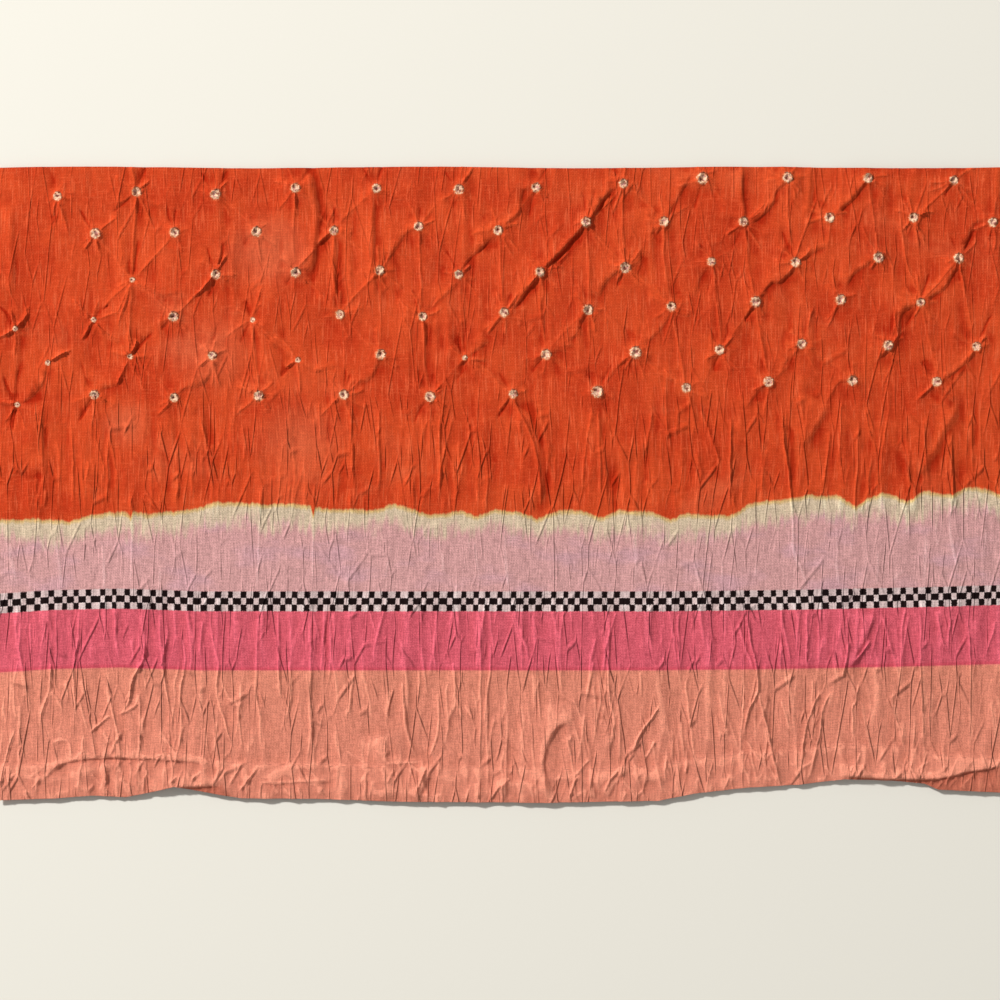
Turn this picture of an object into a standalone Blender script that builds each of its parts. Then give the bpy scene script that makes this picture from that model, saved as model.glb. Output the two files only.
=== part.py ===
"""Bandhani cloth: one cut length of thin dyed cotton, laid out flat with its folds.

The long side of the woven border runs along X. The turned hem is at -Y, the tied and
dotted ground at +Y, and the cloth lies on the plane Z = 0. The sheet is modelled as one
closed solid: its top follows the folds, and its underside is flat wherever it rests.
All sizes and tables are in millimetres.
"""

import math
from collections import namedtuple

import bmesh
import bpy
import numpy as np

MM = 0.001

# Driving sizes of the cut length
CLOTH_WIDTH = 252.0
CLOTH_DEPTH = 158.8
CLOTH_THICKNESS = 1.0
HEM_DEPTH = 9.5
HEM_LAYER = 0.3
HEM_STEP_WIDTH = 1.0
EDGE_WAVER = 0.4
EDGE_WAVE = 13.0

# A raised fold thickens by this much before its underside leaves the ground
FOLD_SLACK = 0.4

# The tied dots: a small cone of cloth at each one, in rows that lean, bow and wave
DOT_HEIGHT = 1.4
DOT_FOOT = 2.8
DOT_ROW_BOW = 1.25
DOT_ROW_WAVE = 0.8
DOT_WAVE_LENGTH = 8.0
DOT_WAVE_START = 1.5

# Low relief: rumples in the dotted ground, upright ribs in the bands below it
RUMPLE_HEIGHT = 0.35
RUMPLE_SPAN = 8.5
RIB_HEIGHT = 0.32
RIB_PITCH = 7.0
GROUND_START_Y = 8.0
GROUND_BLEND = 20.0

# A fold swells from its ends to its middle: in height by this power, in width from this share
FOLD_SWELL = 0.6
FOLD_END_WIDTH = 0.4

# The sheet is modelled on a fine net, then thinned
NET_STEP = 0.8
TOP_TRIANGLES = 5500

CLOTH_COLOUR = (0.604, 0.065, 0.017, 1.0)
CLOTH_ROUGHNESS = 0.85

DotRow = namedtuple("DotRow", "count first_x last_x left_y right_y")
DOT_ROWS = [
    DotRow(12, -111.6, 112.0, 72.1, 76.7),
    DotRow(12, -101.8, 122.9, 62.6, 66.6),
    DotRow(11, -92.2, 114.5, 51.3, 56.5),
    DotRow(12, -122.4, 104.9, 39.8, 46.1),
    DotRow(12, -113.7, 117.8, 30.7, 34.7),
    DotRow(12, -122.4, 108.7, 20.5, 25.7),
]

# Slanting folds that run from one dot to another, by row and column of the table above
DotFold = namedtuple("DotFold", "row column to_row to_column height")
DOT_FOLDS = [
    DotFold(0, 7, 1, 6, 1.6),
    DotFold(1, 6, 2, 5, 2.3),
    DotFold(2, 5, 3, 6, 2.0),
    DotFold(1, 7, 2, 6, 1.6),
    DotFold(2, 6, 3, 7, 1.4),
    DotFold(1, 9, 2, 8, 1.8),
    DotFold(2, 8, 3, 9, 2.0),
    DotFold(0, 10, 1, 9, 1.4),
    DotFold(0, 9, 1, 8, 1.6),
    DotFold(2, 9, 3, 10, 1.6),
    DotFold(2, 10, 3, 11, 1.6),
    DotFold(1, 11, 2, 10, 1.6),
    DotFold(3, 11, 4, 10, 2.0),
    DotFold(4, 11, 5, 11, 1.4),
    DotFold(1, 4, 2, 3, 1.4),
    DotFold(1, 5, 2, 4, 1.2),
    DotFold(0, 6, 1, 5, 1.4),
    DotFold(2, 4, 3, 5, 1.4),
    DotFold(3, 6, 4, 5, 1.2),
    DotFold(4, 5, 5, 6, 0.9),
    DotFold(1, 3, 2, 2, 2.0),
    DotFold(4, 0, 5, 0, 1.4),
    DotFold(4, 1, 5, 1, 1.2),
    DotFold(4, 2, 5, 2, 1.2),
    DotFold(4, 4, 5, 4, 1.2),
    DotFold(0, 8, 1, 7, 0.9),
    DotFold(4, 7, 5, 7, 0.9),
    DotFold(4, 9, 5, 9, 0.9),
]
DOT_FOLD_BOW = 1.0
DOT_FOLD_BACK = 4.6
DOT_FOLD_FRONT = 1.5

# All other folds. The front is the steep side, on the left hand going from start to end
Fold = namedtuple("Fold", "start_x start_y end_x end_y bow height back front")
GROUND_FOLDS = [
    Fold(-48.8, 79.4, -48.0, 51.0, 2.1, 1.4, 3.3, 2.1),
    Fold(-122.5, 71.0, -122.5, 46.0, 0.0, 1.0, 2.5, 1.7),
    Fold(-32.0, 77.0, -31.3, 43.5, 0.0, 0.7, 3.0, 1.3),
    Fold(-41.0, 63.0, -40.0, 42.4, -0.8, 0.7, 3.0, 1.3),
    Fold(60.3, 79.4, 60.8, 65.6, 0.0, 0.7, 3.0, 1.3),
    Fold(41.3, 13.6, 11.3, -2.6, 0.0, 0.7, 5.0, 3.3),
    Fold(114.0, 20.6, 103.0, 1.8, 0.0, 1.1, 5.0, 1.7),
    Fold(81.5, 21.6, 74.5, 10.2, 0.0, 0.9, 4.2, 1.7),
    Fold(-115.0, 21.8, -115.0, 1.6, 0.0, 0.9, 3.3, 1.7),
    Fold(5.0, 20.0, 10.0, -6.0, 1.3, 0.9, 3.8, 1.7),
]
BAND_CREASES = [
    Fold(-107.5, 18.0, -106.8, -8.0, 0.0, 0.6, 2.5, 1.1),
    Fold(-105.3, -29.0, -105.5, -61.0, 0.4, 0.7, 2.5, 1.1),
    Fold(-111.8, -37.5, -114.8, -63.5, 0.8, 0.7, 2.5, 1.1),
    Fold(-85.0, -25.0, -81.3, -60.0, 0.0, 0.7, 2.5, 1.1),
    Fold(-88.3, -37.5, -94.5, -58.0, 1.3, 0.9, 2.5, 1.1),
    Fold(-79.8, -35.5, -80.0, -69.0, 0.4, 0.9, 2.5, 1.1),
    Fold(-72.5, -32.5, -66.0, -69.0, 0.0, 0.8, 2.5, 1.1),
    Fold(-60.3, 1.6, -59.5, -69.0, 0.4, 0.7, 2.5, 1.1),
    Fold(-55.5, -29.0, -53.0, -56.0, 0.0, 0.7, 2.5, 1.1),
    Fold(-46.8, 2.4, -48.3, -74.0, 0.4, 0.7, 2.5, 1.1),
    Fold(-36.0, -37.5, -38.8, -61.0, 0.4, 0.7, 2.5, 1.1),
    Fold(-24.5, -45.0, -19.3, -70.0, -1.2, 1.0, 2.5, 1.1),
    Fold(-15.0, 18.5, -15.8, -6.0, 0.0, 0.7, 2.5, 1.1),
    Fold(-12.0, -27.5, -13.0, -60.0, 0.4, 0.7, 2.5, 1.1),
    Fold(-5.0, -11.0, -5.5, -70.0, 0.4, 0.8, 2.5, 1.1),
    Fold(9.5, -39.5, 10.5, -66.5, 0.0, 0.6, 2.5, 1.1),
    Fold(19.3, -58.0, 13.0, -80.0, -3.0, 1.1, 3.8, 1.7),
    Fold(25.0, 19.0, 25.0, -7.5, 0.0, 0.7, 2.5, 1.1),
    Fold(27.3, -29.0, 27.0, -71.0, 0.4, 0.7, 2.5, 1.1),
    Fold(44.8, -30.0, 46.3, -70.0, -0.4, 0.7, 2.5, 1.1),
    Fold(57.5, 18.5, 57.5, -8.5, 0.4, 0.7, 2.5, 1.1),
    Fold(70.0, 15.0, 73.8, -14.0, 0.0, 1.0, 3.0, 1.1),
    Fold(60.8, -29.0, 65.0, -52.5, 0.0, 0.9, 2.5, 1.1),
    Fold(65.0, -50.0, 60.0, -66.5, -0.4, 0.9, 2.5, 1.1),
    Fold(64.5, -50.0, 70.0, -76.0, 0.4, 0.8, 2.5, 1.1),
    Fold(81.8, -49.0, 74.5, -74.0, 0.8, 0.8, 2.5, 1.1),
    Fold(93.0, -31.5, 86.3, -46.5, 0.0, 1.1, 3.3, 1.5),
    Fold(95.0, -30.0, 100.0, -53.5, 0.0, 0.8, 2.5, 1.1),
    Fold(89.5, -46.5, 87.5, -66.5, 0.0, 0.7, 2.5, 1.1),
    Fold(104.8, -29.0, 105.5, -70.0, 0.0, 0.8, 2.5, 1.1),
    Fold(111.8, 15.0, 114.3, -21.0, 0.0, 0.7, 2.5, 1.1),
    Fold(115.8, -30.0, 117.5, -70.0, 0.4, 0.8, 2.5, 1.1),
    Fold(-120.0, -58.5, -125.8, -77.5, 0.0, 0.7, 2.5, 1.3),
]
HEM_FOLDS = [
    Fold(-71.8, -73.6, -115.8, -75.4, -6.7, 1.1, 4.2, 1.3),
    Fold(-69.5, -74.9, -88.3, -76.4, -0.6, 0.9, 4.2, 0.7),
    Fold(127.0, -69.6, 92.5, -72.1, 0.8, 1.1, 4.2, 0.7),
    Fold(-30.0, -61.5, -26.8, -79.6, -0.8, 0.9, 3.3, 1.3),
    Fold(-16.8, -68.5, -21.3, -79.6, 0.0, 0.8, 2.5, 1.3),
    Fold(31.8, -70.0, 25.8, -78.5, 0.0, 0.8, 2.5, 1.3),
]

# The lower edge, hem side, from left to right
EdgeStation = namedtuple("EdgeStation", "x y")
HEM_EDGE = [
    EdgeStation(-126.0, -78.8),
    EdgeStation(-111.0, -78.3),
    EdgeStation(-102.0, -77.6),
    EdgeStation(-93.5, -78.0),
    EdgeStation(-86.5, -76.6),
    EdgeStation(-81.3, -75.3),
    EdgeStation(-70.0, -77.4),
    EdgeStation(-64.5, -78.3),
    EdgeStation(-47.0, -78.4),
    EdgeStation(-26.0, -79.1),
    EdgeStation(10.3, -79.4),
    EdgeStation(39.5, -78.9),
    EdgeStation(48.5, -77.1),
    EdgeStation(61.8, -75.6),
    EdgeStation(74.5, -74.9),
    EdgeStation(86.0, -73.5),
    EdgeStation(97.5, -73.8),
    EdgeStation(106.0, -74.6),
    EdgeStation(109.5, -76.1),
    EdgeStation(126.0, -76.9),
]


def clear_scene():
    """Remove every object."""
    for item in list(bpy.data.objects):
        bpy.data.objects.remove(item, do_unlink=True)


def smooth_step(value):
    """0 below 0, 1 above 1, and a soft S between."""
    value = np.clip(value, 0.0, 1.0)
    return value * value * (3 - 2 * value)


def half_wave(value):
    """A sine wave that runs between 0 and 1."""
    return 0.5 + 0.5 * np.sin(value)


def dot_place(row, column):
    """Centre of one tied dot."""
    line = DOT_ROWS[row]
    along = column / (line.count - 1)
    bow = DOT_ROW_BOW * ((2 * along - 1) ** 2 - 1 / 3)
    wave = DOT_ROW_WAVE * math.cos(2 * math.pi * (column - DOT_WAVE_START) / DOT_WAVE_LENGTH)
    x = line.first_x + (line.last_x - line.first_x) * along + bow
    y = line.left_y + (line.right_y - line.left_y) * along + wave
    return x, y


def dot_fold(entry):
    """A slanting fold between two dots, as a row of the fold tables."""
    start_x, start_y = dot_place(entry.row, entry.column)
    end_x, end_y = dot_place(entry.to_row, entry.to_column)
    bow = DOT_FOLD_BOW * math.sin(2.1 * entry.column + entry.row)
    return Fold(start_x, start_y, end_x, end_y, bow, entry.height, DOT_FOLD_BACK, DOT_FOLD_FRONT)


def fold_relief(x, y, fold):
    """Height that one fold gives: a long back, a steep front, fading out at both ends."""
    run_x = fold.end_x - fold.start_x
    run_y = fold.end_y - fold.start_y
    length = math.hypot(run_x, run_y)
    from_x = x - fold.start_x
    from_y = y - fold.start_y
    along = (from_x * run_x + from_y * run_y) / length ** 2
    side = (from_y * run_x - from_x * run_y) / length
    side = side - fold.bow * 4 * along * (1 - along)
    swell = np.sin(math.pi * np.clip(along, 0.0, 1.0)) ** FOLD_SWELL
    narrowing = FOLD_END_WIDTH + (1 - FOLD_END_WIDTH) * swell
    reach = np.where(side > 0, fold.front, fold.back) * narrowing
    return fold.height * np.exp(-(side / reach) ** 2) * swell


def dot_relief(x, y):
    """The small cone of cloth drawn up at every tied dot."""
    height = np.zeros_like(x)
    for row, line in enumerate(DOT_ROWS):
        for column in range(line.count):
            centre_x, centre_y = dot_place(row, column)
            reach = np.hypot(x - centre_x, y - centre_y) / DOT_FOOT
            height = np.maximum(height, DOT_HEIGHT * smooth_step(1 - reach))
    return height


def low_relief(x, y):
    """The uneven lie of the cloth between its folds."""
    sway = np.sin(x / RUMPLE_SPAN + 1.4 * np.sin(y / 14)) * np.sin(y / 6.7 + 1.1 * np.sin(x / 19))
    rumple = RUMPLE_HEIGHT * (0.5 + 0.5 * sway)
    rib_phase = 2 * math.pi * x / RIB_PITCH + 2.6 * np.sin(x / 17) + 1.6 * np.sin(y / 15 + x / 25)
    strength = half_wave(x / 12 + 2.0 * np.sin(y / 22))
    ribs = RIB_HEIGHT * half_wave(rib_phase) * strength
    in_ground = smooth_step((y - GROUND_START_Y) / GROUND_BLEND)
    return rumple * in_ground + ribs * (1 - in_ground)


def hem_edge(x):
    """Lower edge of the cloth at one X."""
    return np.interp(x, [station.x for station in HEM_EDGE], [station.y for station in HEM_EDGE])


def hem_thickness(x, y):
    """Extra thickness of the turned hem, up to its line of stitches."""
    return HEM_LAYER * smooth_step((hem_edge(x) + HEM_DEPTH - y) / HEM_STEP_WIDTH)


def relief(x, y):
    """Height of the cloth's lie: the largest fold at each point, over the low relief."""
    height = dot_relief(x, y)
    for fold in [dot_fold(entry) for entry in DOT_FOLDS] + GROUND_FOLDS + BAND_CREASES + HEM_FOLDS:
        height = np.maximum(height, fold_relief(x, y, fold))
    return height + low_relief(x, y)


def net_points():
    """The fine net of points over the whole outline, as X and Y arrays."""
    columns = round(CLOTH_WIDTH / NET_STEP) + 1
    rows = round(CLOTH_DEPTH / NET_STEP) + 1
    across = np.linspace(-1.0, 1.0, columns)[:, None]
    up = np.linspace(0.0, 1.0, rows)[None, :]
    half_width = CLOTH_WIDTH / 2 - EDGE_WAVER * half_wave((up - 0.5) * CLOTH_DEPTH / EDGE_WAVE)
    x = across * half_width
    top = CLOTH_DEPTH / 2 - EDGE_WAVER * half_wave(x / EDGE_WAVE)
    y = hem_edge(x) * (1 - up) + top * up
    return x, y


def net_mesh(x, y, z):
    """A mesh of four-sided cells over the net, in metres."""
    columns, rows = x.shape
    points = np.stack([x, y, z], axis=-1).reshape(-1, 3) * MM
    cells = []
    for column in range(columns - 1):
        for row in range(rows - 1):
            corner = column * rows + row
            cells.append((corner, corner + rows, corner + rows + 1, corner + 1))
    mesh = bpy.data.meshes.new("cloth_net")
    mesh.from_pydata(points.tolist(), [], cells)
    return mesh


def thinned(mesh):
    """The same surface with far fewer triangles, kept where the folds are."""
    net = bpy.data.objects.new("cloth_net", mesh)
    bpy.context.collection.objects.link(net)
    thin = net.modifiers.new("thin", 'DECIMATE')
    thin.decimate_type = 'COLLAPSE'
    thin.ratio = TOP_TRIANGLES / (2 * len(mesh.polygons))
    thin.use_collapse_triangulate = True
    graph = bpy.context.evaluated_depsgraph_get()
    result = bpy.data.meshes.new_from_object(net.evaluated_get(graph))
    bpy.data.objects.remove(net, do_unlink=True)
    return result


def closed_sheet(top):
    """Add the underside and the rim to the top surface, and centre it on the origin."""
    sheet = bmesh.new()
    sheet.from_mesh(top)
    bmesh.ops.triangulate(sheet, faces=sheet.faces[:])
    top_points = list(sheet.verts)
    top_faces = list(sheet.faces)
    rim = [edge for edge in sheet.edges if edge.is_boundary]
    under = {}
    for point in top_points:
        x, y, z = (value / MM for value in point.co)
        raised = z - CLOTH_THICKNESS - float(hem_thickness(x, y))
        under_z = max(0.0, raised - FOLD_SLACK)
        under[point] = sheet.verts.new((x * MM, y * MM, under_z * MM))
    for face in top_faces:
        sheet.faces.new([under[point] for point in reversed(face.verts)])
    for edge in rim:
        loop = edge.link_loops[0]
        first = loop.vert
        second = loop.link_loop_next.vert
        sheet.faces.new((second, first, under[first]))
        sheet.faces.new((second, under[first], under[second]))
    xs = [point.co.x for point in sheet.verts]
    ys = [point.co.y for point in sheet.verts]
    shift = (-(min(xs) + max(xs)) / 2, -(min(ys) + max(ys)) / 2, 0.0)
    bmesh.ops.translate(sheet, verts=sheet.verts, vec=shift)
    bmesh.ops.recalc_face_normals(sheet, faces=sheet.faces)
    mesh = bpy.data.meshes.new("cloth")
    sheet.to_mesh(mesh)
    sheet.free()
    return mesh


def cotton_material():
    """Plain dyed cotton."""
    material = bpy.data.materials.new("dyed_cotton")
    material.use_nodes = True
    shader = material.node_tree.nodes["Principled BSDF"]
    shader.inputs["Base Color"].default_value = CLOTH_COLOUR
    shader.inputs["Roughness"].default_value = CLOTH_ROUGHNESS
    shader.inputs["Metallic"].default_value = 0.0
    return material


def make_cloth():
    """The whole cloth, hem and folds included, as one object."""
    x, y = net_points()
    z = CLOTH_THICKNESS + hem_thickness(x, y) + relief(x, y)
    mesh = closed_sheet(thinned(net_mesh(x, y, z)))
    mesh.materials.append(cotton_material())
    cloth = bpy.data.objects.new("cloth", mesh)
    bpy.context.collection.objects.link(cloth)
    return cloth


clear_scene()
make_cloth()
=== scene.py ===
"""Bandhani cloth: the looks of one cut length of tie-dyed cotton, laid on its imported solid.

Sizes in the tables are millimetres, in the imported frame: +X along the woven border, +Y from
the hem to the dotted ground, +Z up.
"""

import math
from collections import namedtuple

import bmesh
import bpy
import numpy as np
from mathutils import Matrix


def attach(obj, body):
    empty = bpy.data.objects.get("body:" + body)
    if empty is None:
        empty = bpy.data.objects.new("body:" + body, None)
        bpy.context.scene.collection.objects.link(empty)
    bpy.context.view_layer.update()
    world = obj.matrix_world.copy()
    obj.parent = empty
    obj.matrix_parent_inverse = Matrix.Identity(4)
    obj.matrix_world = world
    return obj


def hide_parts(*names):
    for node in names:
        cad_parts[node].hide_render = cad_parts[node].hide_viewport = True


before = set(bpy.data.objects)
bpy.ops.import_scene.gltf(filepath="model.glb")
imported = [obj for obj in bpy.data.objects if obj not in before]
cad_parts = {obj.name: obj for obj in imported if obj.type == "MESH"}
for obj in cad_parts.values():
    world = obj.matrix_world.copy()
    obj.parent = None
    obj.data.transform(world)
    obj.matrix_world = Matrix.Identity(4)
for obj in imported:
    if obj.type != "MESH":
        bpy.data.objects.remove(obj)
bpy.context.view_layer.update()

# The cut length of cotton
# One woven length, plain weave, cut along its top and both sides and hemmed along its foot.
# It lies on the table by its own weight, so its net of points starts flat and gets its folds after.

MM = 0.001
CLOTH_WIDTH = 252.0
CLOTH_DEPTH = 158.8
EDGE_WAVER = 0.4
EDGE_WAVE = 13.0
NET_STEP_ACROSS = 0.22
NET_STEP_UP = 0.36

# Places along the sewn edge, in x and y
HEM_EDGE = [
    (-126.0, -78.8), (-111.0, -78.3), (-102.0, -77.6), (-93.5, -78.0), (-86.5, -76.6),
    (-81.3, -75.3), (-70.0, -77.4), (-64.5, -78.3), (-47.0, -78.4), (-26.0, -79.1),
    (10.3, -79.4), (39.5, -78.9), (48.5, -77.1), (61.8, -75.6), (74.5, -74.9),
    (86.0, -73.5), (97.5, -73.8), (106.0, -74.6), (109.5, -76.1), (126.0, -76.9),
]


def along_table(value, table):
    """The second column of a short table at one value of its first, on straight lines between."""
    return np.interp(value, [row[0] for row in table], [row[1] for row in table])


def half_wave(value):
    """A sine wave that runs between 0 and 1."""
    return 0.5 + 0.5 * np.sin(value)


def soft_step(value):
    """0 below 0, 1 above 1, and a soft S between."""
    value = np.clip(value, 0.0, 1.0)
    return value * value * (3 - 2 * value)


columns = round(CLOTH_WIDTH / NET_STEP_ACROSS) + 1
rows = round(CLOTH_DEPTH / NET_STEP_UP) + 1
across = np.linspace(-1.0, 1.0, columns)[:, None]
up = np.linspace(0.0, 1.0, rows)[None, :]
cloth_x = across * (CLOTH_WIDTH / 2 - EDGE_WAVER * half_wave((up - 0.5) * CLOTH_DEPTH / EDGE_WAVE))
cloth_top = CLOTH_DEPTH / 2 - EDGE_WAVER * half_wave(cloth_x / EDGE_WAVE)
cloth_y = along_table(cloth_x, HEM_EDGE) * (1 - up) + cloth_top * up
above_edge = cloth_y - along_table(cloth_x, HEM_EDGE)

# The tied dots
# A pinch of cloth was bound with thread before the orange dye, and untied after it. Each leaves
# a small raised ring with a hollow in it, pleated where the thread drew it in.

DOT_ROWS = [
    [(-110.5, 71.9), (-90.8, 73.1), (-71.0, 72.4), (-51.0, 73.9), (-30.8, 73.9), (-10.3, 73.6),
     (9.0, 74.1), (30.8, 75.1), (50.5, 76.4), (71.8, 76.6), (91.8, 76.4), (113.3, 75.9)],
    [(-101.0, 62.6), (-81.3, 62.9), (-60.8, 63.1), (-41.5, 63.4), (-20.3, 64.4), (-0.5, 63.4),
     (21.5, 65.4), (41.0, 65.6), (60.8, 65.6), (82.3, 66.6), (103.3, 66.6), (123.0, 65.4)],
    [(-91.8, 51.1), (-71.0, 52.4), (-51.0, 52.9), (-30.0, 53.4), (-10.3, 52.4), (10.0, 52.9),
     (31.3, 54.1), (52.8, 55.6), (73.8, 55.4), (94.5, 56.6), (114.5, 56.4)],
    [(-121.0, 38.9), (-101.5, 41.1), (-81.5, 41.9), (-61.8, 41.1), (-40.0, 42.4), (-19.3, 41.9),
     (1.0, 42.9), (22.0, 43.6), (42.8, 44.4), (63.8, 45.6), (85.0, 46.1), (105.0, 45.4)],
    [(-113.0, 30.4), (-92.3, 31.9), (-71.8, 32.1), (-50.5, 31.1), (-29.8, 32.4), (-8.8, 31.6),
     (11.5, 32.4), (33.8, 32.9), (54.8, 33.6), (75.3, 35.1), (96.8, 34.6), (119.0, 34.4)],
    [(-120.5, 19.9), (-101.3, 22.4), (-81.3, 21.6), (-60.3, 22.1), (-39.0, 22.4), (-17.5, 21.9),
     (3.3, 22.6), (24.3, 23.1), (46.5, 24.1), (67.0, 25.6), (88.0, 25.9), (109.0, 25.6)],
]
DOT_SIZES = (0.86, 1.06)
TIGHT_DOTS = [(3, 0), (3, 1), (3, 3), (4, 0), (4, 1), (4, 3), (4, 5), (2, 0), (5, 0)]
TIGHT_SIZE = 0.55
LARGE_DOTS = [(4, 7), (0, 8), (5, 7)]
LARGE_SIZE = 1.18
RING_RADIUS = 1.0
RING_OVAL = 0.20
RING_CORNERS = 0.14
RING_WIDTH = 0.38
RING_HEIGHT = 0.42
RING_LEVEL = 0.8
RING_SLANT = 0.4
HOLLOW_DEPTH = 0.50
HOLLOW_RADIUS = 0.58
PULL_HEIGHT = 0.6
PULL_REACH = 3.6
PLEAT_COUNT = 7
PLEAT_HEIGHT = 0.05
PLEAT_PLACE = 1.5
PLEAT_REACH = 0.9
DOT_SEED = 7
Dot = namedtuple("Dot", "x y size turn")
dot_draw = np.random.RandomState(DOT_SEED)
dots = []
for row, places in enumerate(DOT_ROWS):
    for column, (dot_x, dot_y) in enumerate(places):
        size = dot_draw.uniform(*DOT_SIZES)
        if (row, column) in TIGHT_DOTS:
            size = TIGHT_SIZE
        if (row, column) in LARGE_DOTS:
            size = LARGE_SIZE
        dots.append(Dot(dot_x, dot_y, size, dot_draw.uniform(0.0, 2 * math.pi)))


def window(low_x, high_x, low_y, high_y):
    """The part of the net that a box of places covers, as a pair of slices."""
    near_x = (cloth_x.max(axis=1) > low_x) & (cloth_x.min(axis=1) < high_x)
    near_y = (cloth_y.max(axis=0) > low_y) & (cloth_y.min(axis=0) < high_y)
    column_range = np.flatnonzero(near_x)
    row_range = np.flatnonzero(near_y)
    if len(column_range) == 0 or len(row_range) == 0:
        return slice(0, 0), slice(0, 0)
    return slice(column_range[0], column_range[-1] + 1), slice(row_range[0], row_range[-1] + 1)


dot_height = np.zeros_like(cloth_x)
for dot in dots:
    reach = PULL_REACH * dot.size
    part = window(dot.x - reach, dot.x + reach, dot.y - reach, dot.y + reach)
    from_x = cloth_x[part] - dot.x
    from_y = cloth_y[part] - dot.y
    radius = np.hypot(from_x, from_y) / dot.size
    turn = np.arctan2(from_y, from_x) + dot.turn
    ring_edge = RING_RADIUS * (1 + RING_OVAL * np.sin(2 * turn) + RING_CORNERS * np.sin(3 * turn + 1))
    ring = RING_HEIGHT * np.exp(-((radius - ring_edge) / RING_WIDTH) ** 2)
    ring = ring * (RING_LEVEL + RING_SLANT * np.cos(turn))
    hollow = HOLLOW_DEPTH * np.exp(-(radius / HOLLOW_RADIUS) ** 2)
    pleats = PLEAT_HEIGHT * np.sin(PLEAT_COUNT * turn) * np.exp(-((radius - PLEAT_PLACE) / PLEAT_REACH) ** 2)
    pull = PULL_HEIGHT * soft_step(1 - radius / PULL_REACH)
    dot_height[part] += (ring - hollow + pleats + pull) * dot.size

# The folds
# The cloth was tied, dyed, washed and laid down without ironing, so it keeps slanting folds from
# dot to dot. Each is a long soft rise that drops in a steep step on its lower right side.

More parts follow.
